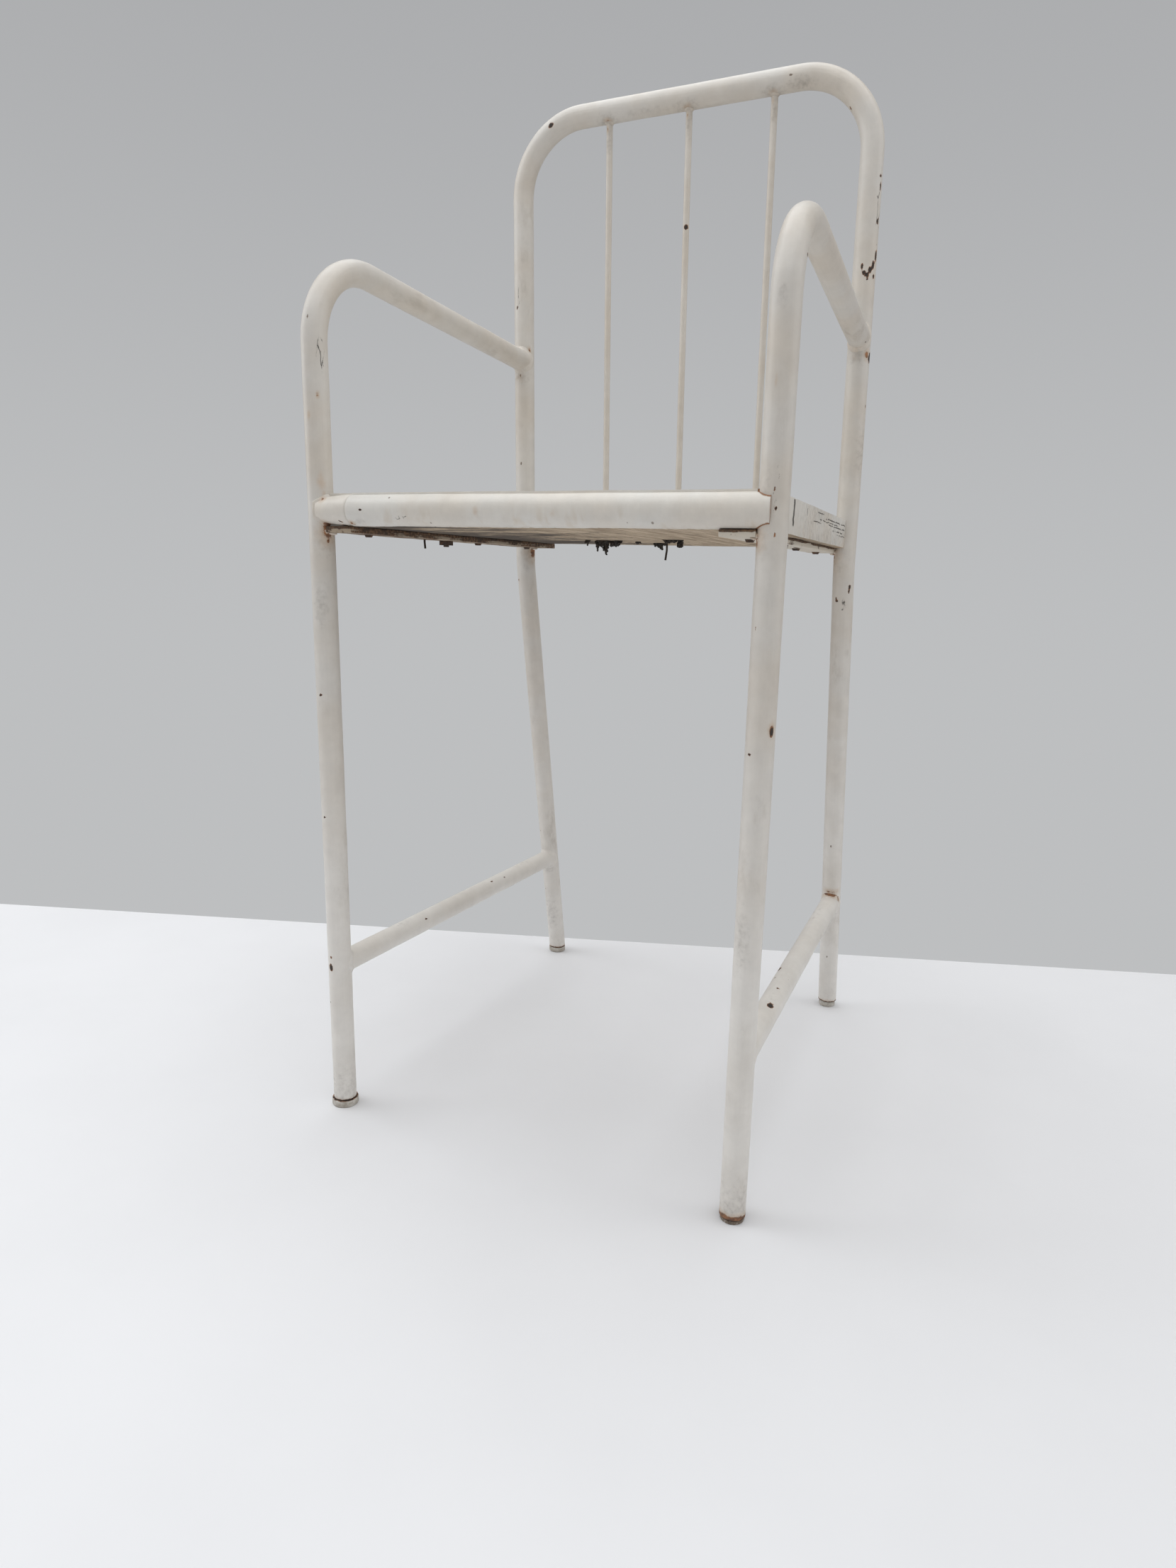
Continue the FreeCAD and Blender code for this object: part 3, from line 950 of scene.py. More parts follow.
def slab(corners: Sequence[tuple[float, float]], low: float, high: float,
         pitch: float = 0.006) -> Shape:
    """A flat bar or board with four corners in plan, divided finely enough to be uneven."""
    a, b, c, d = (Vector((x, y, 0.0)) for x, y in corners)
    nx = max(2, round((b - a).length / pitch))
    ny = max(2, round((d - a).length / pitch))

    def at(i: int, j: int, z: float) -> Vector:
        """Point of the plan grid at height z."""
        u, v = i / nx, j / ny
        p = (a * (1 - u) + b * u) * (1 - v) + (d * (1 - u) + c * u) * v
        return Vector((p.x, p.y, z))

    shape = Shape()
    for z in (low, high):
        first = len(shape.vertices)
        for j in range(ny + 1):
            for i in range(nx + 1):
                shape.vertices.append(at(i, j, z))
        shape.strip(first, ny + 1, nx + 1, close=False)
    rim = [(i, 0) for i in range(nx)] + [(nx, j) for j in range(ny)]
    rim += [(i, ny) for i in range(nx, 0, -1)] + [(0, j) for j in range(ny, 0, -1)]
    first = len(shape.vertices)
    levels = max(2, round((high - low) / pitch))
    for k in range(levels + 1):
        z = low + (high - low) * k / levels
        shape.vertices.extend(at(i, j, z) for i, j in rim)
    shape.strip(first, levels + 1, len(rim))
    return shape


def lump(centre: Vector, radii: tuple[float, float, float], seed: float,
         roughness: float = 0.35) -> Shape:
    """A rough blob, such as a weld spot or a crumb of dirt."""
    work = bmesh.new()
    bmesh.ops.create_icosphere(work, subdivisions=3, radius=1.0)
    shape = Shape()
    for v in work.verts:
        push = 1.0 + roughness * noise.noise(v.co * 1.9 + Vector((seed, -seed, seed * 2.0)))
        shape.vertices.append(centre + Vector(v.co[i] * push * radii[i] for i in range(3)))
    shape.faces = [tuple(v.index for v in f.verts) for f in work.faces]
    work.free()
    return shape


# ---- Geometry node trees

GEOMETRY = "NodeSocketGeometry"
INTEGER = "NodeSocketInt"
MATERIAL = "NodeSocketMaterial"


def new_geometry_tree(name: str, inputs: dict[str, tuple]) -> tuple:
    """Start a geometry tree with named inputs. Returns its graph, given sockets and output."""
    graph = Graph(bpy.data.node_groups.new(name, "GeometryNodeTree"))
    graph.sockets("INPUT", {"Geometry": (GEOMETRY, None), **inputs})
    graph.sockets("OUTPUT", {"Geometry": (GEOMETRY, None)})
    return graph, graph.add("NodeGroupInput").outputs, graph.add("NodeGroupOutput")


def close_tree(graph: Graph, given: Outputs, out: Node, body: Socket) -> None:
    """End a tree: realise its instances and give the result its material."""
    real = graph.add("GeometryNodeRealizeInstances", {0: body})
    done = graph.add("GeometryNodeSetMaterial", {
        "Geometry": real.outputs[0], "Material": given["Finish"]})
    graph.feed(out.inputs["Geometry"], done.outputs[0])


def captured(graph: Graph, geometry: Socket, kind: str, value: Socket) -> Outputs:
    """Keep a value on the geometry's points, to be read after the geometry has changed."""
    node = graph.add("GeometryNodeCaptureAttribute", domain="POINT")
    node.capture_items.new(kind, "Kept")
    graph.fill(node, {0: geometry, 1: value})
    return node.outputs


@cache
def tube_along_path() -> NodeTree:
    """A slightly uneven round bar along a line, which also stores its straightened coordinate."""
    graph, given, out = new_geometry_tree("tube_along_path", {
        "Radius": (FLOAT, 0.01), "Facets": (INTEGER, 40), "Step": (FLOAT, 0.0016),
        "Unevenness": (FLOAT, 0.0001), "Seed": (FLOAT, 0.0), "Finish": (MATERIAL, None)})
    line = graph.add("GeometryNodeMeshToCurve", {0: given["Geometry"]})
    dense = graph.add("GeometryNodeResampleCurve", {
        "Curve": line.outputs[0], "Length": given["Step"]}, mode="LENGTH")
    run = graph.add("GeometryNodeSplineParameter").outputs["Length"]
    spine = captured(graph, dense.outputs[0], "FLOAT", run)
    ring = graph.add("GeometryNodeCurvePrimitiveCircle", {
        "Resolution": given["Facets"], "Radius": given["Radius"]}, mode="RADIUS")
    place = graph.add("GeometryNodeInputPosition").outputs[0]
    section = captured(graph, ring.outputs[0], "VECTOR", place)
    skin = graph.add("GeometryNodeCurveToMesh", {
        "Curve": spine[0], "Profile Curve": section[0], "Fill Caps": True})
    flat = graph.axes(section[1])
    straight = graph.add("ShaderNodeCombineXYZ", {
        0: flat[0], 1: flat[1], 2: graph.plus(spine[1], given["Seed"])}).outputs[0]
    stored = graph.add("GeometryNodeStoreNamedAttribute", {
        "Geometry": skin.outputs[0], "Name": Space.PATH.value},
        data_type="FLOAT_VECTOR", domain="POINT")
    graph.feed(stored.inputs["Value"], straight)
    soft = graph.plus(graph.noise(straight, 38.0, 2.0),
                      graph.times(graph.noise(straight, 210.0, 2.0), 0.35))
    push = graph.times(graph.minus(soft, 0.675), graph.times(given["Unevenness"], 4.0))
    normal = graph.add("GeometryNodeInputNormal").outputs[0]
    offset = graph.add("ShaderNodeVectorMath", {0: normal, "Scale": push}, operation="SCALE")
    moved = graph.add("GeometryNodeSetPosition", {
        "Geometry": stored.outputs[0], "Offset": offset.outputs[0]})
    smooth = graph.add("GeometryNodeSetShadeSmooth", {"Geometry": moved.outputs[0]})
    close_tree(graph, given, out, smooth.outputs[0])
    return graph.tree


@cache
def crumbs_on_surface() -> NodeTree:
    """Small rough crumbs of dirt stuck to a surface."""
    graph, given, out = new_geometry_tree("crumbs_on_surface", {
        "Density": (FLOAT, 9000.0), "Smallest": (FLOAT, 0.0003), "Largest": (FLOAT, 0.0016),
        "Seed": (INTEGER, 3), "Finish": (MATERIAL, None)})
    spots = graph.add("GeometryNodeDistributePointsOnFaces", {
        "Mesh": given["Geometry"], "Density": given["Density"], "Seed": given["Seed"]},
        distribute_method="RANDOM")
    ball = graph.add("GeometryNodeMeshIcoSphere", {"Radius": 1.0, "Subdivisions": 2})
    grit = graph.add("ShaderNodeTexNoise", {"Scale": 1.4, "Detail": 3.0}).outputs["Color"]
    lumpy = graph.add("GeometryNodeSetPosition", {
        "Geometry": ball.outputs[0], "Offset": graph.scaled(grit, (0.9, 0.9, -0.9))})
    turn = graph.add("FunctionNodeRandomValue", data_type="FLOAT_VECTOR")
    graph.fill(turn, {"Max": (6.28, 6.28, 6.28), "Seed": given["Seed"]})
    size = graph.add("FunctionNodeRandomValue", data_type="FLOAT")
    smallest, largest = [s for s in size.inputs if s.enabled][:2]
    graph.feed(smallest, given["Smallest"])
    graph.feed(largest, given["Largest"])
    graph.feed(size.inputs["Seed"], given["Seed"])
    placed = graph.add("GeometryNodeInstanceOnPoints", {
        "Points": spots.outputs[0], "Instance": lumpy.outputs[0], "Rotation": turn.outputs[0],
        "Scale": next(s for s in size.outputs if s.enabled)})
    close_tree(graph, given, out, placed.outputs[0])
    return graph.tree


def grown(name: str, source: Mesh, tree: NodeTree, inputs: dict[str, object]) -> Mesh:
    """Run a geometry tree on a mesh and keep the result.

    Args:
        name: the new mesh's name.
        source: what the tree starts from.
        tree: the geometry tree.
        inputs: a value for each of its named inputs.

    Returns:
        The finished mesh, with no modifier left on it.
    """
    holder = placed(name + "_source", source)
    modifier = holder.modifiers.new("grow", "NODES")
    modifier.node_group = tree
    for item in tree.interface.items_tree:
        if item.item_type == "SOCKET" and item.in_out == "INPUT" and item.name in inputs:
            modifier[item.identifier] = inputs[item.name]
    graph = bpy.context.evaluated_depsgraph_get()
    mesh = bpy.data.meshes.new_from_object(
        holder.evaluated_get(graph), preserve_all_data_layers=True, depsgraph=graph)
    bpy.data.objects.remove(holder)
    mesh.name = name
    return mesh


# ---- The tube frame


def bar(name: str, path: Path, radius: float, material: Material, step: float,
        facets: int, unevenness: float, seed: float) -> Mesh:
    """A round bar along a path.

    Args:
        name: the mesh's name.
        path: its centre line.
        radius: its radius.
        material: its finish.
        step: spacing of its rings.
        facets: points round it.
        unevenness: how far its skin strays from round.
        seed: shifts its unevenness and the pattern of its paint.

    Returns:
        Its mesh, closed at both ends.
    """
    points = path.points()
    source = bpy.data.meshes.new(name + "_line")
    source.from_pydata([tuple(p) for p in points], [(i, i + 1) for i in range(len(points) - 1)], [])
    return grown(name, source, tube_along_path(), {
        "Radius": radius, "Facets": facets, "Step": step, "Unevenness": unevenness,
        "Seed": seed, "Finish": material})


def cut_level(mesh: Mesh, height: float) -> None:
    """Saw the mesh off level at a height and close its ends."""
    work = bmesh.new()
    work.from_mesh(mesh)
    bmesh.ops.bisect_plane(work, geom=work.verts[:] + work.edges[:] + work.faces[:],
                           plane_co=(0.0, 0.0, height), plane_no=(0.0, 0.0, -1.0),
                           clear_outer=True)
    rims = [e for e in work.edges if e.is_boundary]
    bmesh.ops.holes_fill(work, edges=rims, sides=0)
    bmesh.ops.recalc_face_normals(work, faces=work.faces)
    work.to_mesh(mesh)
    work.free()
    mesh.set_sharp_from_angle(angle=math.radians(50.0))


@dataclass
class TubeFrame:
    """The bent tubes: an arm and front leg on each side, the back hoop and two stretchers.

    Attributes:
        layout: centre lines.
        front_cut: height of each front leg's sawn end, by side.
        rear_cut: height of the rear legs' sawn ends.
        facets: points round a tube.
        step: spacing of a tube's rings.
        unevenness: how far the painted skin strays from round.
        spare_end: how far a tube runs on before it is sawn off level.
        stretcher_share: radius of a stretcher over that of the other tubes.
    """

    layout: Layout = LAYOUT
    front_cut: dict[Side, float] = field(
        default_factory=lambda: {Side.LEFT: 0.007, Side.RIGHT: 0.004})
    rear_cut: float = 0.007
    facets: int = 40
    step: float = 0.0016
    unevenness: float = 0.00010
    spare_end: float = 0.012
    stretcher_share: float = 0.985

    def arm_path(self, side: Side) -> Path:
        """Centre line from the front foot up, round the hand corner and back to the upright."""
        lay = self.layout
        return Path([lay.point("front_foot", side), lay.point("arm_corner", side),
                     lay.upright(side, lay.arm_rear_z)], [lay.arm_bend_radius])

    def hoop_path(self) -> Path:
        """Centre line from the left rear foot over the top rail to the right rear foot."""
        lay = self.layout
        names = ("rear_foot", "rear_bend", "top_corner")
        up = [lay.point(n, Side.LEFT) for n in names]
        down = [lay.point(n, Side.RIGHT) for n in reversed(names)]
        return Path(up + down, [lay.rear_bend_radius, lay.top_bend_radius,
                                lay.top_bend_radius, lay.rear_bend_radius])

    def stretcher_path(self, side: Side) -> Path:
        """Centre line from the front leg to the rear leg."""
        lay = self.layout
        return Path([lay.front_leg(side, lay.stretcher_front_z),
                     lay.rear_leg(side, lay.stretcher_rear_z)])

    def joint_marks(self) -> list[Mark]:
        """Rust and dirt where other parts meet the tubes, and dirt with painted shadow under the
        arm joints.
        """
        lay = self.layout
        front = BACK * -0.009
        marks = []
        for side in Side:
            inner = Vector((-side.value, 0.0, 0.0)) * 0.009
            leg = lay.front_leg(side, 0.506) + inner + front * 0.4
            back = lay.upright(side, 0.504) + inner
            # under each arm joint: a dark patch of dirt with painted shadow
            under = lay.upright(side, lay.arm_rear_z - 0.016) + front * 1.1
            marks += [Mark(RUST, leg, 0.008, UP, 1.3, 0.85),
                      Mark(GRIME, leg + UP * -0.004, 0.010, UP, 1.4, 0.40),
                      Mark(RUST, back, 0.009, UP, 1.4, 0.9),
                      Mark(GRIME, back - UP * 0.002, 0.012, UP, 1.2, 0.5),
                      Mark(GRIME, under, 0.009, UP, 0.7, 0.50),
                      Mark(RUST, under, 0.006, UP, 0.8, 0.42)]
            for at, toward in ((lay.front_leg(side, lay.stretcher_front_z - 0.012), 0.009),
                               (lay.rear_leg(side, lay.stretcher_rear_z - 0.012), -0.009)):
                marks.append(Mark(GRIME, at + BACK * toward, 0.007, UP, 0.8, 0.55))
        joint = lay.rear_leg(Side.RIGHT, lay.stretcher_rear_z + 0.0155)
        marks.append(Mark(RUST, joint + Vector((0.002, -0.0075, 0.0)), 0.004,
                          (1.0, 0.2, 0.0), 2.0, 0.95))
        for i in (-1, 0, 1):
            x = lay.spindle_offset + i * lay.spindle_pitch
            under = (x, lay.top_corner[1] - 0.004, lay.top_corner[2] - 0.0092)
            marks += [Mark(GRIME, under, 0.006, ACROSS, 1.6, 0.62),
                      Mark(RUST, under, 0.003, ACROSS, 1.3, 0.70)]
        return marks + [Mark(GRIME, (0.108, 0.083, 0.901), 0.005, ACROSS, 2.4, 0.60),
                        Mark(GRIME, (-0.035, 0.083, 0.900), 0.0045, ACROSS, 6.0, 0.34)]

    def hoop_marks(self) -> list[Mark]:
        """Worn places on the back hoop."""
        path = self.hoop_path()
        marks = self.joint_marks()
        rows = (
            (CHIP, 0.928, (0.0, -1.0, 0.0), 1.8, 1.3),
            (CHIP, 1.354, (0.96, -0.27, 0.0), 1.3, 3.4),
            (CHIP, 1.362, (0.82, -0.57, 0.0), 1.3, 2.3),
            (CHIP, 1.366, (0.62, -0.78, 0.0), 1.3, 1.8),
            (CHIP, 1.370, (0.40, -0.91, 0.0), 1.8, 0.8),
            (CHIP, 1.368, (0.14, -0.99, 0.0), 1.4, 0.8),
            (CHIP, 1.363, (-0.06, -1.0, 0.0), 1.0, 2.2),
            (CHIP, 1.373, (0.46, -0.89, 0.0), 1.0, 1.2),
            (CHIP, 1.371, (0.90, -0.42, 0.0), 1.1, 1.8, 0.9),
            (CRACK, 1.320, (0.92, -0.40, 0.0), 3.0, 7.5, 0.80),
            (CHIP, 1.300, (0.95, -0.30, 0.0), 0.9, 3.4),
            (CHIP, 1.327, (0.92, -0.39, 0.0), 1.0, 2.4),
            (CHIP, 1.292, (0.92, -0.39, 0.0), 1.0, 1.2, 0.9),
            (CHIP, 1.437, (0.98, -0.05, 0.0), 2.4, 1.7),
            (RUST, 1.435, (0.84, -0.53, 0.0), 3.0, 1.6),
            (CHIP, 1.478, (0.97, -0.22, 0.0), 0.7, 2.4, 0.8),
            (CRACK, 0.766, (-0.27, -0.96, 0.0), 3.0, 4.0, 0.85),
            (CHIP, 0.757, (-0.27, -0.96, 0.0), 0.9, 1.8, 0.9),
            (CHIP, 1.643, (0.66, -0.73, 0.0), 0.9, 2.2, 0.9),
            (CHIP, 1.650, (-0.42, -0.88, 0.0), 0.9, 1.4, 0.9),
            (CRACK, 1.655, (0.30, -0.95, 0.0), 4.0, 2.5, 0.6),
            (CHIP, 1.639, (0.72, -0.69, 0.0), 1.1, 2.0),
            (CHIP, 1.652, (-0.38, -0.90, 0.0), 1.2, 1.0),
            (CHIP, 0.485, (-0.61, -0.78, 0.0), 0.9, 1.5, 0.9),
            (CHIP, 1.229, (-0.71, -0.45, -0.54), 1.2, 1.6, 0.7),
            (CHIP, 1.252, (-0.9, -0.35, 0.0), 0.7, 3.0, 0.7),
            (RUST, 0.715, (0.86, -0.52, 0.0), 2.0, 2.5, 0.95),
            (GRIME, 0.060, (-0.2, -1.0, 0.0), 10.0, 2.6, 0.42),
            (GRIME, 1.520, (0.9, -0.4, 0.0), 7.0, 4.0, 0.38),
        )
        marks += [mark_on(path, *row) for row in rows]
        return marks + self.foot_marks()

    def foot_marks(self) -> list[Mark]:
        """Dirt low on the legs, and rust round the sawn ends."""
        lay = self.layout
        marks = []
        for side in Side:
            for axis, cut, dirt, line in ((lay.rear_leg, self.rear_cut, 0.28, 0.125),
                                          (lay.front_leg, self.front_cut[side], 0.50, 0.075)):
                end = axis(side, cut)
                marks.append(Mark(GRIME, end + UP * 0.006, 0.017, UP, 1.4, dirt))
                marks.append(Mark(CHIP, end, 0.0104, UP, line, 1.12))
                marks.append(Mark(RUST, end, 0.0105, UP, 2.2 * line, 1.0))
        end = lay.front_leg(Side.RIGHT, self.front_cut[Side.RIGHT])
        marks.append(Mark(RUST, end, 0.0140, UP, 0.34, 1.35))
        return marks

    def arm_marks(self, side: Side) -> list[Mark]:
        """Worn places on one arm and front leg."""
        path = self.arm_path(side)
        rows = {
            Side.RIGHT: (
                (RUST, 0.381, (0.86, -0.50, 0.0), 2.4, 2.0),
                (CHIP, 0.380, (0.88, -0.48, 0.0), 1.5, 2.0, 0.95),
                (CHIP, 0.364, (-0.47, -0.88, 0.0), 1.1, 1.0),
                (CHIP, 0.592, (-0.97, -0.26, 0.0), 0.8, 2.6, 0.72),
                (GRIME, 0.592, (-0.97, -0.26, 0.0), 2.2, 2.0, 0.6),
                (GRIME, 0.647, (0.0, -1.0, 0.0), 3.0, 1.8, 0.55),
                (CHIP, 0.675, (1.0, 0.10, 0.0), 1.1, 1.3, 0.95),
                (CHIP, 0.672, (0.12, -0.93, 0.35), 0.9, 1.0, 0.7),
                (GRIME, 0.530, (-0.25, -0.95, 0.0), 4.0, 3.5, 0.42),
                (CRACK, 0.535, (0.30, -0.95, 0.0), 2.2, 9.0, 0.66),
                (CHIP, 0.524, (0.36, -0.93, 0.0), 0.8, 1.6, 0.9),
                (CHIP, 0.508, (0.42, -0.90, 0.0), 0.8, 2.5, 0.85),
                (CHIP, 0.536, (0.28, -0.95, 0.0), 0.7, 3.0, 0.85),
                (CHIP, 0.448, (-0.5, -0.86, 0.0), 0.6, 3.0, 0.75),
                (RUST, 0.600, (-0.05, -1.0, 0.0), 0.9, 4.0, 0.70),
                (GRIME, 0.230, (-0.3, -0.9, 0.0), 6.0, 4.0, 0.40),
            ),
            Side.LEFT: (
                (CHIP, 0.377, (0.0, -1.0, 0.0), 1.0, 1.2, 0.95),
                (CHIP, 0.273, (-0.17, -0.98, 0.0), 0.9, 1.2, 0.95),
                (RUST, 0.593, (0.0, -1.0, 0.0), 1.3, 2.2, 0.95),
                (RUST, 0.608, (0.70, -0.71, 0.0), 1.2, 2.0, 0.9),
                (CRACK, 0.637, (0.90, -0.43, 0.0), 3.2, 4.0, 0.85),
                (CHIP, 0.637, (0.90, -0.43, 0.0), 0.6, 6.0, 0.8),
                (CHIP, 0.136, (-0.21, -0.98, 0.0), 1.9, 1.6),
                (CHIP, 0.146, (-0.14, -0.99, 0.0), 0.9, 1.4, 0.9),
                (GRIME, 0.450, (0.4, -0.9, 0.0), 6.0, 3.0, 0.40),
                (RUST, 0.545, (0.72, -0.69, 0.0), 3.0, 2.2, 0.62),
                (CHIP, 0.500, (0.90, -0.43, 0.0), 0.8, 2.2, 0.9),
                (RUST, 0.500, (0.90, -0.43, 0.0), 1.6, 2.4),
                (RUST, 0.536, (0.82, -0.57, 0.0), 1.2, 1.5, 0.9),
            ),
        }
        return [mark_on(path, *row) for row in rows[side]] + self.foot_marks() + \
            self.joint_marks()

    def build(self) -> None:
        """Build and dress all five tubes."""
        lay, paint = self.layout, Enamel("cream_frame_paint").build()
        for side in Side:
            name, path, cut = "arm_leg_" + side.word, self.arm_path(side), self.front_cut[side]
            mesh = bar(name + "_body", self.dipped(path, False), lay.tube_radius, paint,
                       self.step, self.facets, self.unevenness, 0.70 + 1.3 * (side is Side.RIGHT))
            cut_level(mesh, cut)
            add_piece(name + "_painted", mesh, None, [name], self.arm_marks(side))
        mesh = bar("back_hoop_body", self.dipped(self.hoop_path(), True), lay.tube_radius, paint,
                   self.step, self.facets, self.unevenness, 3.9)
        cut_level(mesh, self.rear_cut)
        add_piece("back_hoop_painted", mesh, None, ["back_frame_tube"],
                  self.hoop_marks())
        for side in Side:
            name, path = "side_stretcher_" + side.word, self.stretcher_path(side)
            mesh = bar(name + "_body", path, lay.tube_radius * self.stretcher_share, paint,
                       self.step, self.facets, self.unevenness, 6.1 + side.value)
            add_piece(name + "_painted", mesh, None, [name],
                      self.stretcher_marks(side, path))

    def dipped(self, path: Path, both: bool) -> Path:
        """The path with its foot ends carried below the sawing height."""
        corners = [c.copy() for c in path.corners]
        corners[0] += (corners[0] - corners[1]).normalized() * self.spare_end
        if both:
            corners[-1] += (corners[-1] - corners[-2]).normalized() * self.spare_end
        return Path(corners, path.radii, path.step_deg)

    def stretcher_marks(self, side: Side, path: Path) -> list[Mark]:
        """Worn places on one stretcher."""
        rows = [(GRIME, 0.20, (0.1, 0.0, -1.0), 8.0, 6.0, 0.45),
                (GRIME, 0.09, (0.2, 0.0, 1.0), 4.0, 3.0, 0.36),
                (GRIME, 0.33, (-0.2, 0.0, 1.0), 5.0, 4.0, 0.36)]
        rows += {
            Side.RIGHT: [(RUST, 0.077, (0.37, 0.0, 0.93), 2.0, 1.8),
                         (CHIP, 0.077, (0.37, 0.0, 0.93), 2.3, 1.6),
                         (CHIP, 0.112, (0.20, 0.0, 0.97), 1.1, 1.2),
                         (CHIP, 0.161, (-0.70, 0.0, 0.71), 1.5, 2.4),
                         (RUST, 0.385, (0.3, 0.0, 0.95), 3.0, 1.2, 0.9)],
            Side.LEFT: [(CHIP, 0.120, (0.8, 0.0, 0.6), 1.1, 1.6, 0.9),
                        (CHIP, 0.250, (0.5, 0.0, 0.86), 1.0, 2.2, 0.85)]}[side]
        return [mark_on(path, *row) for row in rows]


# ---- Welds


@dataclass
class WeldRing:
    """A painted fillet where a round stub meets a round tube.

    Attributes:
        main_point: a point on the tube's centre line.
        main_along: direction of the tube.
        main_radius: radius of the tube.
        joint: where the stub's centre line meets the tube's.
        stub_along: direction of the stub, away from the tube.
        stub_radius: radius of the stub.
        leg: how far the fillet reaches along each of them.
        lumps: how uneven it is.
        seed: shifts its unevenness.
        around: points round it.
    """

    main_point: Vector
    main_along: Vector
    main_radius: float
    joint: Vector
    stub_along: Vector
    stub_radius: float
    leg: float = 0.0030
    lumps: float = 0.00045
    seed: float = 0.0
    around: int = 72

    def shape(self) -> Shape:
        """The closed ring."""
        m = self.main_along.normalized()
        d = self.stub_along.normalized()
        e1 = m.cross(d).normalized()
        e2 = d.cross(e1)

        def flat(v: Vector) -> Vector:
            """The part of a vector square to the tube."""
            return v - m * v.dot(m)

        rings = []
        for j in range(self.around):
            turn = 2.0 * math.pi * j / self.around
            e = e1 * math.cos(turn) + e2 * math.sin(turn)
            g = self.joint + e * self.stub_radius
            w, run = flat(g - self.main_point), flat(d)
            a, b = run.dot(run), w.dot(run)
            c = w.dot(w) - self.main_radius ** 2
            meet = g + d * ((-b + math.sqrt(max(0.0, b * b - a * c))) / a)
            n = flat(meet - self.main_point).normalized()
            reach = self.leg * (1.0 + 0.22 * noise.noise(
                Vector((math.cos(turn) * 2.2 + self.seed, math.sin(turn) * 2.2, self.seed))))
            slide = e - n * e.dot(n)
            slide = slide.normalized() if slide.length > 1e-4 else m
            on_stub = meet + d * reach
            on_main = meet + slide * reach
            foot = self.main_point + m * (on_main - self.main_point).dot(m)
            on_main = foot + flat(on_main - self.main_point).normalized() * self.main_radius
            ring = []
            for k in range(7):
                s = k / 6.0
                p = on_stub * (1 - s) ** 2 + meet * (2 * s * (1 - s)) + on_main * s ** 2
                swell = (e + n).normalized() * (0.0006 + self.lumps * noise.noise(
                    p * 420.0 + Vector((self.seed, 0.0, 0.0)))) * 4.0 * s * (1 - s)
                ring.append(p + swell)
            ring += [on_main - n * 0.0012, meet - n * 0.0012 - e * 0.0010, on_stub - e * 0.0012]
            rings.append(ring)
        shape = Shape([p for ring in rings for p in ring], [])
        size = len(rings[0])
        for j in range(self.around):
            k = (j + 1) % self.around
            for i in range(size):
                h = (i + 1) % size
                shape.faces.append((j * size + i, j * size + h, k * size + h, k * size + i))
        return shape


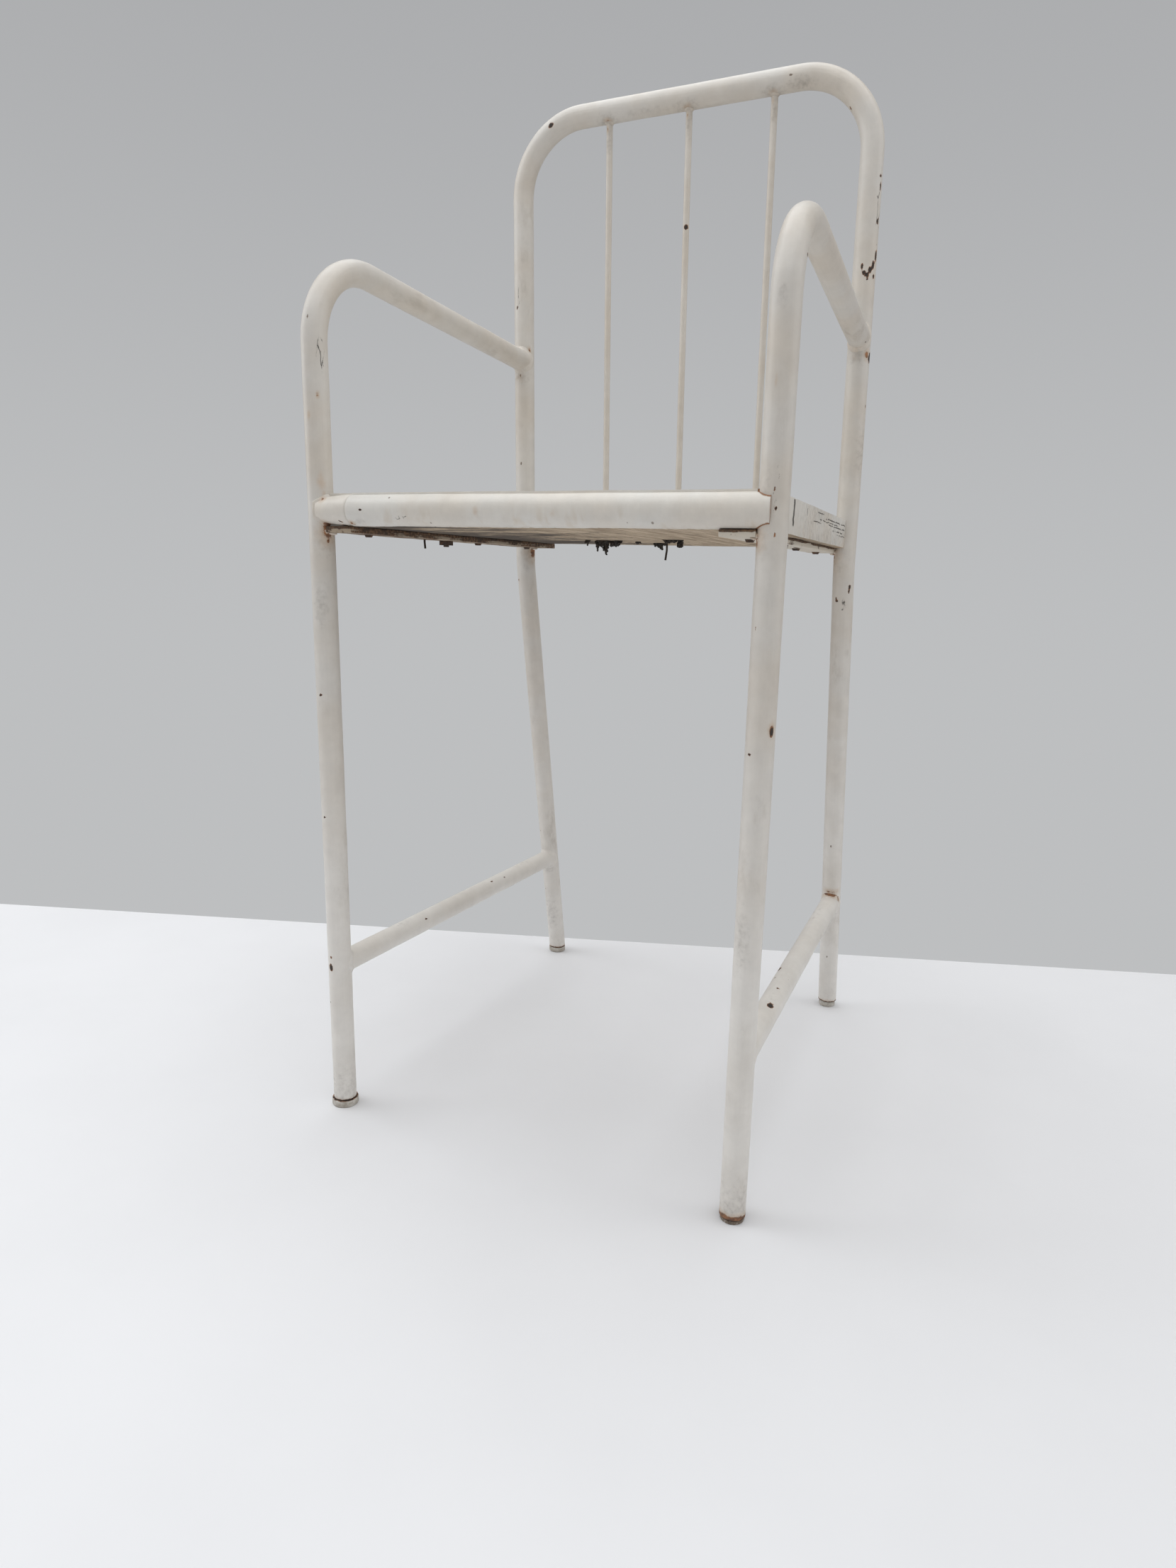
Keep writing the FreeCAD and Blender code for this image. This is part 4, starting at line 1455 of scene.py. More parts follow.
@dataclass
class Welds:
    """All the weld beads, under the same paint as the tubes.

    Attributes:
        layout: centre lines.
        seat_low: height of the straps' undersides.
        rail_top: height of the rear rail's top edge.
    """

    layout: Layout = LAYOUT
    seat_low: float = 0.506
    rail_top: float = 0.531

    def build(self) -> None:
        """Build and dress every group of welds."""
        paint = Enamel("weld_paint", paint=rgb(0.655, 0.615, 0.560), aged=rgb(0.67, 0.60, 0.52),
                       space=Space.OBJECT, scuffs=1.0, flecks=1.3, gloss=0.48).build()
        self.arm_rings(paint)
        self.stretcher_rings(paint)
        self.spindle_rings(paint)
        self.seat_lumps(paint)

    def put(self, name: str, shape: Shape, paint: Material, node: str,
            marks: Sequence[Mark]) -> None:
        """Add one group of welds as a piece that stands for a CAD node."""
        add_piece(name, mesh_of(name, shape, sharp_deg=80.0), paint, [node], marks)

    def arm_rings(self, paint: Material) -> None:
        """Fillets where the arms meet the uprights."""
        lay, r = self.layout, self.layout.tube_radius
        shape, marks = Shape(), []
        for side in Side:
            joint = lay.upright(side, lay.arm_rear_z)
            main = lay.run("rear_bend", "top_corner", side)
            stub = lay.point("arm_corner", side) - joint
            shape.add(WeldRing(joint, main, r, joint, stub, 0.985 * r, 0.0034,
                               seed=3.0 + side.value).shape())
            # dark patch under the arm joint: dirt with painted shadow
            low = joint + Vector((0.0, -0.013, -0.012))
            marks += [Mark(GRIME, low, 0.008, UP, 1.0, 0.45), Mark(RUST, low, 0.004, UP, 1.0, 0.5)]
        self.put("arm_weld_fillets", shape, paint, "arm_welds", marks)

    def stretcher_rings(self, paint: Material) -> None:
        """Fillets at both ends of both stretchers."""
        lay, r = self.layout, self.layout.tube_radius
        shape, marks = Shape(), []
        for side in Side:
            a = lay.front_leg(side, lay.stretcher_front_z)
            b = lay.rear_leg(side, lay.stretcher_rear_z)
            leg = lay.run("front_foot", "arm_corner", side)
            rake = lay.run("rear_foot", "rear_bend", side)
            shape.add(WeldRing(a, leg, r, a, b - a, 0.985 * r, 0.0030,
                               seed=7.0 + side.value).shape())
            shape.add(WeldRing(b, rake, r, b, a - b, 0.985 * r, 0.0034,
                               seed=11.0 + side.value).shape())
            for at, toward in ((a, 0.013), (b, -0.013)):
                marks.append(Mark(GRIME, at + Vector((0.0, toward, -0.009)), 0.007, UP, 1.0, 0.6))
        top = lay.rear_leg(Side.RIGHT, lay.stretcher_rear_z) + Vector((0.0, -0.011, 0.0135))
        marks += [Mark(RUST, top, 0.0052, ACROSS, 2.6, 1.1),
                  Mark(CHIP, top, 0.0017, ACROSS, 4.0, 0.9),
                  Mark(RUST, top + Vector((0.010, 0.002, -0.006)), 0.0032, UP, 1.8)]
        self.put("stretcher_weld_fillets", shape, paint, "stretcher_welds", marks)

    def spindle_rings(self, paint: Material) -> None:
        """Small fillets at the tops and feet of the spindles."""
        lay, r = self.layout, self.layout.rod_radius
        shape, marks = Shape(), []
        for i, foot, top in spindle_lines(lay):
            shape.add(WeldRing(top, ACROSS, lay.tube_radius, top, foot - top, r * 0.97,
                               0.0016, 0.0003, seed=20.0 + i, around=40).shape())
            at = at_height(foot, top, self.rail_top)
            cone = turned([(0.0, -0.0006), (r + 0.0014, -0.0004), (r + 0.0012, 0.0004),
                           (r + 0.0006, 0.0012), (r - 0.0002, 0.0022), (0.0, 0.0022)],
                          at, top - foot, 32)
            shape.add(cone.roughen(0.00025, 300.0, float(i)))
            marks += [Mark(RUST, at, 0.004, UP, 0.8, 0.8),
                      Mark(GRIME, top - UP * 0.011, 0.005, UP, 0.8, 0.7)]
        self.put("spindle_weld_fillets", shape, paint, "spindle_welds", marks)

    def seat_lumps(self, paint: Material) -> None:
        """Weld spots where the straps and the rear rail meet the legs."""
        lay = self.layout
        straps, rails, marks = Shape(), Shape(), []
        for side in Side:
            for k, axis in enumerate((lay.front_leg, lay.upright)):
                p = axis(side, self.seat_low)
                at = p + Vector((-side.value * 0.0115, -0.001, -0.0006))
                straps.add(lump(at, (0.0024, 0.0042, 0.0012), 2.0 * k + side.value))
                at = p + Vector((-side.value * 0.0085, -0.004, 0.0010))
                straps.add(lump(at, (0.0016, 0.0024, 0.0018), 5.0 + 2.0 * k + side.value))
                marks += [Mark(RUST, p, 0.012, UP, 1.0)]
            for z in (0.513, 0.519, 0.5255, 0.530):
                p = lay.upright(side, z)
                for back in (-0.0052, 0.0052):
                    at = p + Vector((-side.value * 0.0092, back, 0.0))
                    rails.add(lump(at, (0.0018, 0.0016, 0.0036), z * 999.0 + back * 400.0))
            top = lay.upright(side, self.rail_top) + Vector((-side.value * 0.0108, 0.0, 0.0))
            rails.add(lump(top, (0.0022, 0.0042, 0.0014), 9.0 + side.value))
            marks.append(Mark(RUST, top, 0.006, UP, 1.0, 0.6))
        self.put("strap_weld_spots", straps, paint, "strap_welds", marks)
        self.put("rear_rail_weld_spots", rails, paint, "rear_rail_welds", marks)


# ---- Back spindles


def spindle_lines(lay: Layout) -> list[tuple[int, Vector, Vector]]:
    """Number, foot and top of each spindle's centre line."""
    lines = []
    foot_y = lay.upright(Side.RIGHT, lay.seat_low).y
    for i in (-1, 0, 1):
        x = lay.spindle_offset + i * lay.spindle_pitch
        lines.append((i, Vector((x, foot_y, lay.seat_low)), Vector((x, *lay.top_corner[1:]))))
    return lines


@dataclass
class Spindles:
    """Three thin rods between the rear rail and the top rail.

    Attributes:
        layout: centre lines.
        rail_top: where the rods start.
        facets: points round a rod.
    """

    layout: Layout = LAYOUT
    rail_top: float = 0.531
    facets: int = 24

    def build(self) -> None:
        """Build and dress the rods."""
        paint = Enamel("rod_paint", paint=rgb(0.640, 0.600, 0.545), aged=rgb(0.60, 0.545, 0.475),
                       scuffs=1.2, flecks=1.4).build()
        radius = self.layout.rod_radius
        words = {-1: "left", 0: "centre", 1: "right"}
        for i, foot, top in spindle_lines(self.layout):
            path = Path([at_height(foot, top, self.rail_top - 0.0004),
                         at_height(foot, top, 0.9000)])
            name = "spindle_" + words[i]
            mesh = bar(name + "_body", path, radius, paint, 0.0016, self.facets, 0.00006, 9.0 + i)
            rows = [(GRIME, 0.375, (0.1, -1.0, 0.0), 3.0, 4.0, 0.55),
                    (RUST, 0.383, (-0.3, -1.0, 0.0), 1.2, 2.5, 0.8),
                    (RUST, 0.022, (0.0, -1.0, 0.0), 2.5, 2.0, 0.7)]
            if i == 0:
                rows.append((CHIP, 0.291, (0.38, -0.93, 0.0), 1.7, 1.2))
            marks = [mark_on(Path([foot, top]), *row, radius=radius) for row in rows]
            add_piece(name + "_painted", mesh, None, [name], marks)


# ---- Seat


@dataclass
class Seat:
    """The wooden seat board with its nose, its left lug, and the steel that carries it.

    Attributes:
        layout: centre lines.
        low: height of the board's underside.
        thick: the board's thickness.
        lip_thick: thickness of the thin lip along the nose's top edge.
        lip_back: how far the lip's edge stands back from the nose's front.
        nose_front: y of the nose's front.
        lug_x: where the board's nose ends and the lug begins.
        strap_width: width of the straps under the board.
        strap_thick: thickness of the straps.
        rail_thick: thickness of the rear rail.
        rail_high: height of the rear rail.
    """

    layout: Layout = LAYOUT
    low: float = LAYOUT.seat_low
    thick: float = 0.025
    lip_thick: float = 0.0012
    lip_back: float = 0.009
    nose_front: float = -0.2295
    lug_x: float = -0.148
    strap_width: float = 0.025
    strap_thick: float = 0.005
    rail_thick: float = 0.008
    rail_high: float = 0.020

    @property
    def nose_radius(self) -> float:
        """Radius of the half-round nose."""
        return (self.thick - self.lip_thick) / 2.0

    @property
    def nose_centre(self) -> tuple[float, float]:
        """The y and z of the nose's middle."""
        return self.nose_front + self.nose_radius, self.low + self.nose_radius

    @property
    def rail_front(self) -> float:
        """The y of the rear rail's front face."""
        return self.layout.upright(Side.RIGHT, self.low + self.rail_high / 2).y \
            - self.rail_thick / 2

    def half_width(self, y: float) -> float:
        """Half the board's width at y: its sides run between the legs' middles."""
        front = self.layout.front_leg(Side.RIGHT, self.nose_centre[1])
        rear = self.layout.upright(Side.RIGHT, self.nose_centre[1])
        return rear.x + (front.x - rear.x) * (rear.y - y) / (rear.y - front.y)

    def section(self) -> list[tuple[float, float]]:
        """The board's outline in y and z, from the lip round the nose and back over the top."""
        r = self.nose_radius
        cy, cz = self.nose_centre
        lip_y = self.nose_front + self.lip_back
        start = math.atan2(math.sqrt(r * r - (lip_y - cy) ** 2), lip_y - cy)
        line = []
        count = 30
        for k in range(count + 1):
            turn = start + (1.5 * math.pi - start) * k / count
            line.append((cy + r * math.cos(turn), cz + r * math.sin(turn)))
        back, top = self.rail_front - 0.0002, self.low + self.thick
        steps = 84
        line += [(cy + (back - cy) * k / steps, self.low) for k in range(1, steps + 1)]
        line += [(back, self.low + self.thick * k / 5.0) for k in range(1, 6)]
        line += [(back + (lip_y - back) * k / steps, top) for k in range(1, steps + 1)]
        return line

    def board_shape(self) -> Shape:
        """The board, lofted from side to side and slightly uneven, with its left nose cut back."""
        cy = self.nose_centre[0]
        front = self.half_width(self.nose_front)
        cut = self.lug_x / front
        across = [-1.0 + (cut + 1.0) * k / 6.0 for k in range(6)]
        across += [cut - 1e-5, cut + 1e-5]
        across += [cut + (1.0 - cut) * k / 260.0 for k in range(1, 261)]
        outline = self.section()
        shape = Shape()
        for u in across:
            for y, z in outline:
                x = u * self.half_width(y)
                if u < cut and y < cy:
                    y = cy
                wave = noise.noise(Vector((x, y, z)) * 24.0) * 0.00022
                wave += noise.noise(Vector((x, y, z)) * 70.0) * 0.00008
                lift = wave if z > self.low + 1e-6 else 1.6 * wave
                push = wave if y < cy + 1e-6 else 0.0
                shape.vertices.append(Vector((x, y - push, z + lift)))
        around = len(outline)
        for i in range(len(across) - 1):
            for j in range(around):
                a, b = i * around + j, i * around + (j + 1) % around
                shape.faces.append((a, b, b + around, a + around))
        shape.faces.append(tuple(range(around)))
        last = (len(across) - 1) * around
        shape.faces.append(tuple(last + j for j in range(around)))
        return shape

    def build(self) -> None:
        """Build and dress the board, the lug, the straps, the rail and the fixings."""
        lay = self.layout
        leg = lay.run("front_foot", "arm_corner", Side.RIGHT)
        cracks = ((-0.149, 0.516, 0.5357, 0.0024), (-0.096, 0.5265, 0.5335, 0.0007))
        paint = PaintedBoard("painted_board", self.nose_centre[0] + 0.0005,
                             (lay.point("front_foot", Side.RIGHT), leg.normalized(),
                              lay.tube_radius), cracks)
        nose, top = self.nose_front, self.low + self.thick
        marks = [
            Mark(RUST, (0.030, nose, 0.520), 0.003, UP, 1.2, 0.42),
            Mark(RUST, (-0.032, nose, 0.521), 0.0022, UP, 1.6, 0.62),
            Mark(CHIP, (-0.1335, nose + 0.0002, 0.5225), 0.0009, ACROSS, 1.4, 1.0),
            Mark(RUST, (-0.1460, nose + 0.0060, 0.5140), 0.0032, UP, 0.8),
            Mark(CHIP, (-0.1462, nose + 0.0062, 0.5138), 0.0010, (1.0, 0.2, -0.4), 3.2, 1.0),
            Mark(CHIP, (-0.052, nose + 0.001, 0.5195), 0.0005, UP, 1.0, 0.9),
            Mark(CHIP, (-0.050, nose + 0.001, 0.5225), 0.0005, UP, 1.0, 0.9),
            Mark(CRACK, (-0.095, nose + 0.001, 0.5165), 0.0035, ACROSS, 4.0, 0.62),
            Mark(GRIME, (-0.140, nose + 0.004, 0.514), 0.0030, ACROSS, 3.0, 0.42),
            Mark(RUST, (0.172, 0.098, 0.513), 0.007, BACK, 1.6, 0.8),
            Mark(GRIME, (0.0, 0.0, top), 0.080, BACK, 1.1, 0.30),
            Mark(GRIME, (0.0, self.rail_front, top), 0.010, ACROSS, 16.0, 0.55),
            Mark(GRIME, (-0.17, 0.05, 0.523), 0.030, BACK, 2.0, 0.50),
            # painted shade: this grime mark darkens the board's right side, which lies in shade
            Mark(GRIME, (0.172, -0.020, 0.522), 0.034, BACK, 2.6, 0.62),
            Mark(RUST, (0.170, -0.149, 0.524), 0.0040, UP, 1.8, 0.62),
        ]
        for x, y in ((-0.062, -0.145), (0.024, 0.063), (0.096, -0.012), (-0.104, 0.052)):
            marks.append(Mark(CHIP, (x, y, top), 0.0014, UP, 1.0, 0.95))
            marks.append(Mark(CRACK, (x, y, top), 0.010, BACK, 2.4, 0.60))
        board = mesh_of("seat_board_body", self.board_shape(), bevel=0.0007, sharp_deg=35.0)
        add_piece("seat_board_painted", board, paint.build(), ["seat_board"], marks)
        self.lug()
        self.straps()
        self.rear_rail()
        self.fixings()
        self.dirt()

    def lug(self) -> None:
        """The round lug at the nose's left end, worn and sealed with paint."""
        r = self.nose_radius
        cy, cz = self.nose_centre
        axis = Vector((-1.0, 0.0, 0.0))
        profile = [(0.0, 0.0), (r * 0.80, 0.0002), (r - 0.0010, 0.0004), (r - 0.0002, 0.0011)]
        for k in range(1, 31):
            t = k / 30.0
            h = 0.0011 + t * 0.0300
            neck = 0.00955 + (r - 0.00955) * (1.0 - t ** 1.6) if h > 0.004 else r
            profile.append((neck, h))
        profile.append((0.0, profile[-1][1]))
        body = turned(profile, Vector((self.lug_x, cy, cz)), axis, 72)
        body.roughen(0.00022, 170.0, 4.0)
        marks = [
            Mark(RUST, (-0.152, cy + 0.001, cz - r), 0.0042, ACROSS, 1.8, 1.0),
            Mark(CHIP, (-0.1545, cy - 0.003, cz - r + 0.001), 0.0013, (1.0, 0.3, 0.4), 2.2, 0.95),
            Mark(CHIP, (-0.1555, cy - 0.0075, cz - r + 0.0035), 0.0007,
                 (0.9, 0.3, -0.5), 3.5, 0.85),
            Mark(RUST, (-0.1725, cy - 0.002, cz - r + 0.0015), 0.0040, ACROSS, 1.3, 0.95),
            Mark(RUST, (-0.1735, cy - 0.006, cz + 0.0075), 0.0026, UP, 1.8, 0.9),
            Mark(CHIP, (-0.1745, cy - 0.007, cz + 0.0055), 0.0006, UP, 2.5, 0.85),
            Mark(CHIP, (-0.160, cy - 0.011, cz - 0.0035), 0.0005, UP, 1.0, 0.8),
        ]
        paint = Enamel("lug_paint", paint=rgb(0.690, 0.655, 0.600), aged=rgb(0.65, 0.60, 0.53),
                       space=Space.OBJECT, scuffs=0.8, flecks=0.9, gloss=0.38).build()
        add_piece("seat_nose_lug_painted", mesh_of("seat_nose_lug_body", body), paint,
                  ["seat_nose_lug"], marks)

        at = self.layout.front_leg(Side.LEFT, cz)
        leg = self.layout.run("front_foot", "arm_corner", Side.LEFT)
        ring = WeldRing(at, leg, self.layout.tube_radius, Vector((at.x, cy + 0.0006, cz)),
                        ACROSS, 0.0096, 0.0026, 0.0005, seed=31.0).shape()
        weld = Enamel("lug_weld_paint", space=Space.OBJECT, scuffs=1.0, flecks=1.2).build()
        add_piece("nose_lug_fillet", mesh_of("nose_lug_fillet", ring, sharp_deg=80.0), weld,
                  ["nose_lug_weld"], marks[3:6])

    def strap_corner(self, side: Side, front: bool, inner: bool) -> tuple[float, float]:
        """One corner of a strap in plan."""
        axis = self.layout.front_leg if front else self.layout.upright
        x = axis(side, self.low - self.strap_thick).x - side.value * (
            self.layout.tube_radius - 0.0008 + self.strap_width * inner)
        return x, -0.222 if front else 0.114

    def straps(self) -> None:
        """The flat bars under the board's two sides."""
        for side in Side:
            plan = [self.strap_corner(side, *k) for k in
                    ((True, False), (True, True), (False, True), (False, False))]
            body = slab(plan, self.low - self.strap_thick, self.low - 0.0001, 0.004)
            body.roughen(0.00030, 55.0, 2.0 + side.value)
            finish = RustySteel("rusty_strap_" + side.word,
                                0.56 if side is Side.LEFT else 0.86,
                                paint=rgb(0.37, 0.295, 0.215) if side is Side.LEFT
                                else rgb(0.62, 0.565, 0.48), seam=self.low - 0.0018).build()
            name = "seat_strap_" + side.word
            add_piece(name + "_rusty",
                      mesh_of(name + "_body", body, bevel=0.0006, sharp_deg=50.0), finish,
                      [name])

    def rear_rail(self) -> None:
        """The flat bar on edge behind the board."""
        half = self.layout.upright(Side.RIGHT, self.low).x - 0.0085
        y0, y1 = self.rail_front, self.rail_front + self.rail_thick
        body = slab([(-half, y0), (half, y0), (half, y1), (-half, y1)], self.low,
                    self.low + self.rail_high, 0.004)
        body.roughen(0.00025, 45.0, 8.0)
        paint = Enamel("rail_paint", space=Space.OBJECT, scuffs=1.3, flecks=1.5).build()
        marks = [Mark(RUST, (s * half, y1, self.low), 0.010, UP, 1.0, 0.9) for s in (-1, 1)]
        marks += [Mark(GRIME, (x, y1, self.low + 0.002), 0.007,
                       ACROSS, 3.0, 0.6) for x in (-0.10, 0.02, 0.11)]
        add_piece("rear_rail_painted",
                  mesh_of("rear_rail_body", body, bevel=0.0008, sharp_deg=50.0), paint,
                  ["rear_seat_rail"], marks)

    def fixings(self) -> None:
        """Rusty finish on the screws, stud and nut, and the bent nails under the board."""
        steel = RustySteel("rusty_fixings", 0.0, rgb(0.040, 0.024, 0.016),
                           rgb(0.12, 0.060, 0.030)).build()
        for node in ("strap_screws", "strap_stud", "strap_nut"):
            body = bpy.data.objects[node].data
            body.materials.clear()
            body.materials.append(steel)
        iron = RustySteel("old_nails", 0.0, rgb(0.022, 0.016, 0.013),
                          rgb(0.055, 0.036, 0.024)).build()
        together = None
        for i, (x, y, z, lean) in enumerate(self.nail_feet()):
            path = Path([Vector((x, y, 0.5220)), Vector((x, y, 0.5105)),
                         Vector((x - lean * 0.25, y, 0.5105 - (0.5105 - z) * 0.5)),
                         Vector((x + lean, y, z))], [0.002, 0.006], 12.0)
            mesh = bar("nail_%d" % i, path, 0.0009, iron, 0.0006, 12, 0.00016, 2.3 * i)
            if together is None:
                together = mesh
                continue
            together = joined("seat_nails_body", [together, mesh])
        add_piece("seat_nails_rusty", together, None, ["seat_nails"])

    def nail_feet(self) -> list[tuple[float, float, float, float]]:
        """Place of each nail's point, and how far it leans."""
        left = self.strap_corner(Side.LEFT, True, False)[0] + self.strap_width / 2 + 0.0030
        right = self.strap_corner(Side.RIGHT, True, False)[0] - self.strap_width / 2 + 0.0040
        return [(0.045, -0.036, 0.4935, -0.0008), (left, -0.107, 0.4980, 0.0006),
                (right, -0.096, 0.503, -0.0006)]

    def dirt(self) -> None:
        """Dark crumbs that hang under the board in a few clumps."""
        clumps = ((-0.033, 0.006, 0.0060, 0.0034), (-0.030, 0.004, 0.0028, 0.0082),
                  (-0.0375, 0.002, 0.0020, 0.0058), (-0.0245, 0.008, 0.0034, 0.0040),
                  (-0.0175, 0.004, 0.0030, 0.0034), (-0.047, 0.000, 0.0018, 0.0034),
                  (0.008, 0.046, 0.0040, 0.0032), (0.0095, 0.046, 0.0020, 0.0048),
                  (0.048, -0.036, 0.0058, 0.0022), (0.056, -0.034, 0.0020, 0.0052),
                  (-0.004, 0.020, 0.0020, 0.0018))
        base = Shape()
        for k, (x, y, wide, deep) in enumerate(clumps):
            base.add(lump(Vector((x, y, self.low)), (wide, wide * 0.8, deep), 3.1 * k, 1.1))
        source = mesh_of("clump_cores", base, sharp_deg=80.0)
        soil = RustySteel("dark_dirt", 0.0, rgb(0.016, 0.013, 0.011),
                          rgb(0.055, 0.042, 0.031)).build()
        crumbs = grown("dirt_crumbs", source.copy(), crumbs_on_surface(), {
            "Density": 380000.0, "Smallest": 0.0003, "Largest": 0.0011, "Seed": 5,
            "Finish": soil})
        source.materials.append(soil)
        both = joined("underside_dirt_body", [source, crumbs])
        add_piece("underside_dirt", both, soil, [])


def joined(name: str, meshes: Sequence[Mesh]) -> Mesh:
    """One mesh out of several."""
    work = bmesh.new()
    for mesh in meshes:
        work.from_mesh(mesh)
    whole = bpy.data.meshes.new(name)
    work.to_mesh(whole)
    work.free()
    for material in meshes[0].materials:
        whole.materials.append(material)
    whole.shade_smooth()
    return whole


# ---- Feet


@dataclass
class FootPlug:
    """One round plug under a leg.

    Attributes:
        side: which side of the chair.
        rear: True for a rear leg.
        radius: radius of its disc.
        height: height of its disc.
        chamfer: rounding of its lower rim.
        flutes: number of grooves moulded round it.
        groove: how far it is waisted just under the tube.
    """

    side: Side
    rear: bool
    radius: float
    height: float
    chamfer: float
    flutes: int
    groove: float

    @property
    def name(self) -> str:
        """Name of its CAD node."""
        return "foot_plug_%s_%s" % ("rear" if self.rear else "front", self.side.word)

    def build(self, finish: Material, slot: str, lay: Layout = LAYOUT) -> None:
        """Build and dress it."""
        axis = lay.rear_leg if self.rear else lay.front_leg
        at = axis(self.side, self.height)
        r, h, c = self.radius, self.height, self.chamfer
        g = self.groove
        profile = [(0.0, 0.0), (r * 0.5, 0.0), (r - c - 0.0004, 0.0), (r - c * 0.45, c * 0.22),
                   (r - c * 0.12, c * 0.62), (r, c), (r, c + (h - c) * 0.33),
                   (r, c + (h - c) * 0.66), (r, h - 0.0013), (r - 0.0004, h - 0.0007),
                   (r - 0.0004 - g, h - 0.0003), (8.4 * MM, h), (8.4 * MM, h + 0.003),
                   (0.0, h + 0.003)]
        body = turned(profile, Vector((at.x, at.y, 0.0)), UP, max(72, self.flutes * 4),
                      self.flutes, 0.00035)
        for p in body.vertices:
            if p.z > 0.0002:
                p += noise.noise_vector(p * 320.0) * 0.00016
                p.z = max(p.z, 0.0)
        marks = [Mark(GRIME, (at.x, at.y, 0.0), r * 0.75, UP, 0.4, 0.70),
                 Mark(CHIP, (at.x, at.y, h), r * 1.02, UP, 0.075, 1.08)]
        add_piece(self.name + "_worn", mesh_of(self.name + "_body", body, sharp_deg=50.0),
                  finish, [self.name], marks)


@dataclass
class Feet:
    """The four foot plugs, which differ in size because some have been replaced."""

    def build(self) -> None:
        """Build and dress all four."""
        grey = OldRubber("grey_rubber").build()
        pale = OldRubber("pale_rubber", rgb(0.66, 0.635, 0.59), rgb(0.36, 0.320, 0.270)).build()
        brown = OldRubber("brown_rubber", rgb(0.235, 0.185, 0.140),
                          rgb(0.085, 0.058, 0.040)).build()
        FootPlug(Side.LEFT, False, 0.0117, 0.007, 0.0010, 40, 0.0016).build(pale, "plug_rubber")
        FootPlug(Side.RIGHT, False, 0.0092, 0.004, 0.0006, 0, 0.0006).build(brown, "plug_brown")
        FootPlug(Side.LEFT, True, 0.0102, 0.007, 0.0015, 0, 0.0010).build(grey, "plug_rubber")
        FootPlug(Side.RIGHT, True, 0.0088, 0.007, 0.0008, 0, 0.0004).build(grey, "plug_rubber")


# ---- Studio


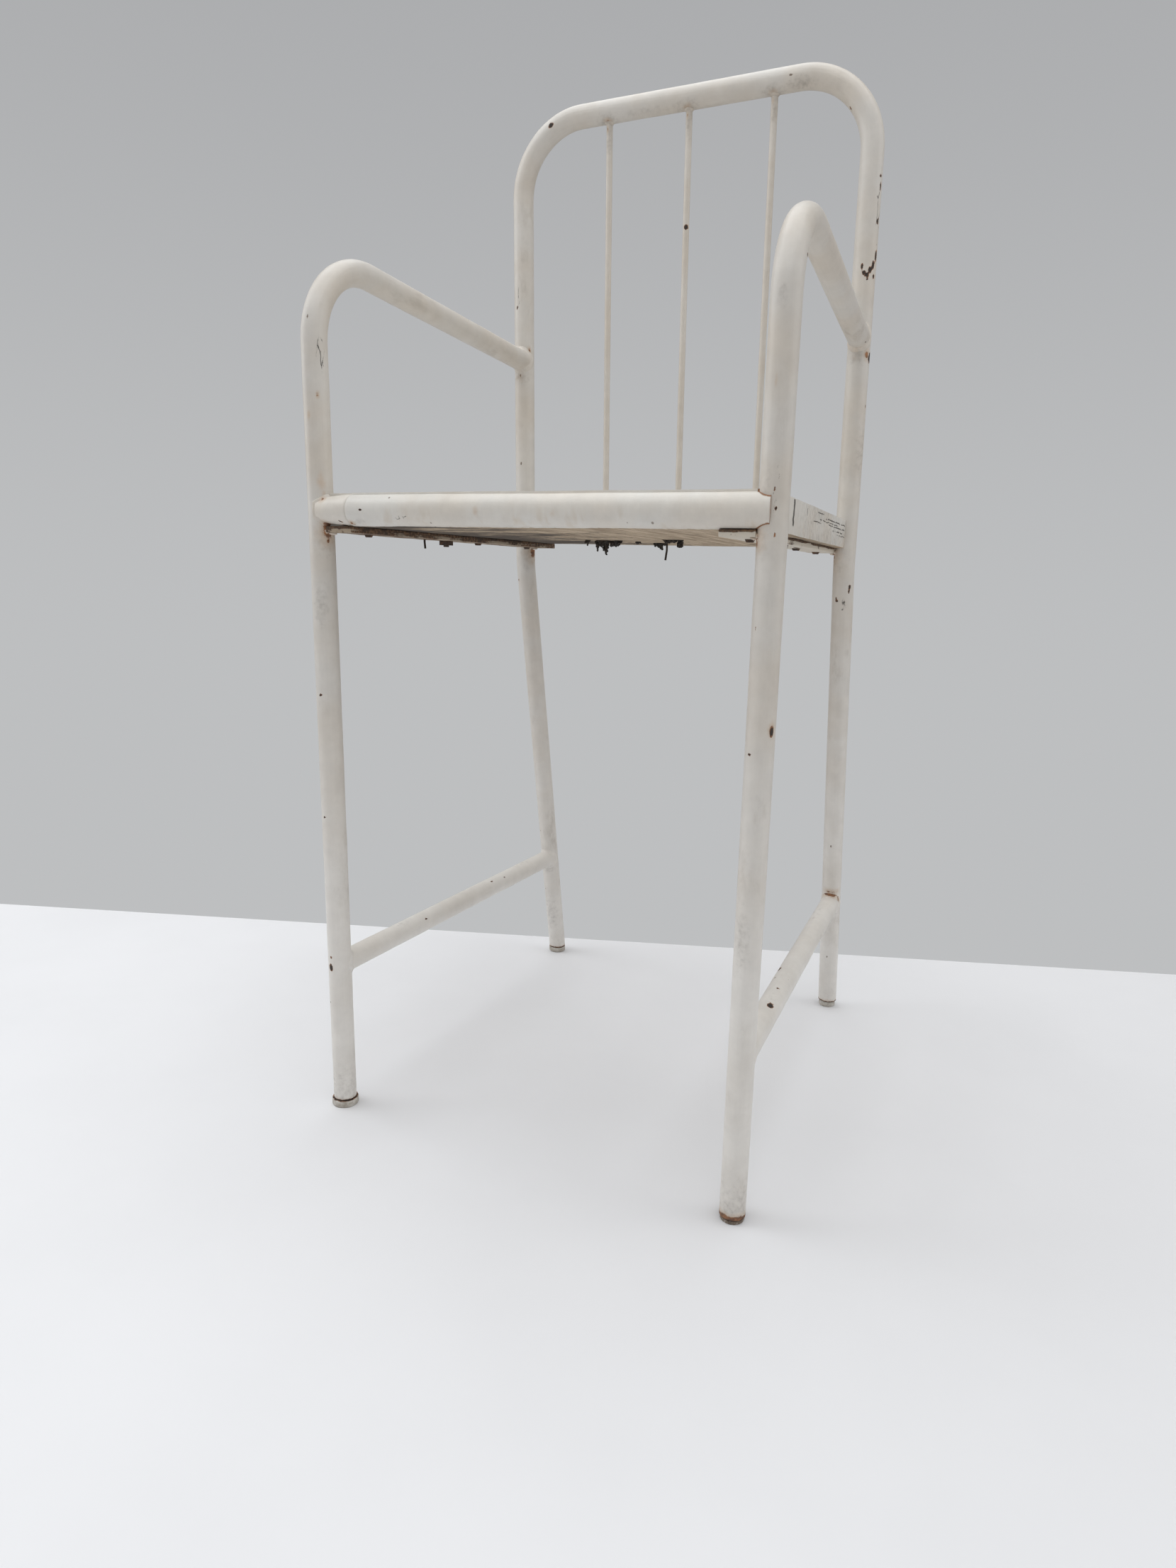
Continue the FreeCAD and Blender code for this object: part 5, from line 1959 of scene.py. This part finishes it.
@dataclass
class Studio:
    """A plain pale floor in pale grey air, soft lights and the camera.

    Attributes:
        lens: focal length for a sensor 36 mm long.
        eye: where the camera stands.
        yaw: how far it looks to the left of straight back, in degrees.
        pitch: how far it looks up, in degrees.
        roll: how far it is tilted, in degrees.
        floor_edge: two points on the line where the floor ends.
        ambient: strength of the even light.
    """

    lens: float = 22.178
    eye: Vector = field(default_factory=lambda: Vector((0.3404, -0.8514, 0.47885)))
    yaw: float = 24.044
    pitch: float = -12.188
    roll: float = 1.670
    floor_edge: tuple[tuple[float, float], ...] = ((-0.945, -0.0038), (0.561, 0.5212))
    ambient: float = 0.39

    def camera(self) -> None:
        """Place the camera."""
        a, e, r = (math.radians(v) for v in (self.yaw, self.pitch, self.roll))
        ahead = Vector((-math.sin(a) * math.cos(e), math.cos(a) * math.cos(e), math.sin(e)))
        right = Vector((math.cos(a), math.sin(a), 0.0))
        above = right.cross(ahead)
        x_axis = right * math.cos(r) + above * math.sin(r)
        y_axis = above * math.cos(r) - right * math.sin(r)
        data = bpy.data.cameras.new("studio_camera")
        data.lens = self.lens
        data.sensor_width = 36.0
        data.clip_start = 0.01
        data.clip_end = 50.0
        camera = placed("studio_camera", data)
        turn = Matrix((x_axis, y_axis, -ahead)).transposed()
        camera.matrix_world = Matrix.Translation(self.eye) @ turn.to_4x4()
        bpy.context.scene.camera = camera

    def sheet(self, name: str, corners: Sequence[Vector], finish: Material) -> None:
        """A flat stage sheet."""
        mesh = bpy.data.meshes.new(name)
        mesh.from_pydata([tuple(c) for c in corners], [], [tuple(range(len(corners)))])
        mesh.materials.append(finish)
        sheet = placed(name, mesh)

    def stage(self) -> None:
        """The floor, which ends on a line behind the chair and runs far out in front."""
        finish = Plain("pale_floor", rgb(0.83, 0.835, 0.855)).build()
        left, right = (Vector((x, y, 0.0)) for x, y in self.floor_edge)
        along = (right - left).normalized()
        a, b = left - along * 6.0, right + along * 6.0
        toward = Vector((along.y, -along.x, 0.0)) * 9.0
        self.sheet("studio_floor", [a, a + toward, b + toward, b], finish)

    def light(self, name: str, place: Vector, target: Vector, size: tuple[float, float],
              watts: float, tint: tuple[float, float, float] = (1.0, 1.0, 1.0)) -> None:
        """A rectangular soft light that faces a target."""
        data = bpy.data.lights.new(name, "AREA")
        data.shape = "RECTANGLE"
        data.size, data.size_y = size
        data.energy = watts
        data.color = tint
        lamp = placed(name, data)
        turn = (target - place).to_track_quat("-Z", "Y").to_matrix().to_4x4()
        lamp.matrix_world = Matrix.Translation(place) @ turn

    def air(self) -> None:
        """Pale grey all round, and a soft even light from it."""
        world = bpy.data.worlds.new("studio_air")
        world.use_nodes = True
        world.node_tree.nodes.clear()
        graph = Graph(world.node_tree)
        rise = graph.axes(graph.add("ShaderNodeTexCoord").outputs["Generated"])[2]
        tone = graph.mix(graph.step(rise, -0.1, 0.6), rgb(0.512, 0.520, 0.528),
                         rgb(0.400, 0.405, 0.415))
        seen = graph.add("ShaderNodeBackground", {"Color": tone}).outputs[0]
        lit = graph.add("ShaderNodeBackground", {
            "Color": rgb(1.0, 0.975, 0.945), "Strength": self.ambient}).outputs[0]
        direct = graph.add("ShaderNodeLightPath").outputs["Is Camera Ray"]
        both = graph.add("ShaderNodeMixShader", {0: direct, 1: lit, 2: seen})
        graph.add("ShaderNodeOutputWorld", {"Surface": both.outputs[0]})
        bpy.context.scene.world = world

    def build(self) -> None:
        """Set the stage, the lights and the camera."""
        self.camera()
        self.stage()
        seat = Vector((0.0, 0.0, 0.5))
        self.light("softbox_above", Vector((-0.1, -0.3, 2.5)), seat, (3.4, 3.0), 54.0,
                   (0.94, 0.97, 1.0))
        self.light("softbox_left", Vector((-1.9, -0.5, 1.3)), seat, (1.4, 1.8), 11.0,
                   (0.98, 0.99, 1.0))
        self.light("softbox_right", Vector((1.9, 0.3, 1.2)), seat, (1.2, 1.6), 4.5,
                   (1.0, 0.985, 0.96))
        self.air()
        bpy.context.scene.view_settings.view_transform = "Standard"
        bpy.context.scene.view_settings.look = "None"


def main() -> None:
    """Build every sub-assembly."""
    logging.basicConfig(level=logging.INFO, format="%(message)s", stream=sys.stdout)
    noise.seed_set(NOISE_SEED)  # left alone, Blender seeds noise_vector by the clock
    for part in (TubeFrame(), Welds(), Spindles(), Seat(), Feet(), Studio()):
        part.build()
        LOG.info("built %s", type(part).__name__)
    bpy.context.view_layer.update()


if __name__ == "__main__":
    main()
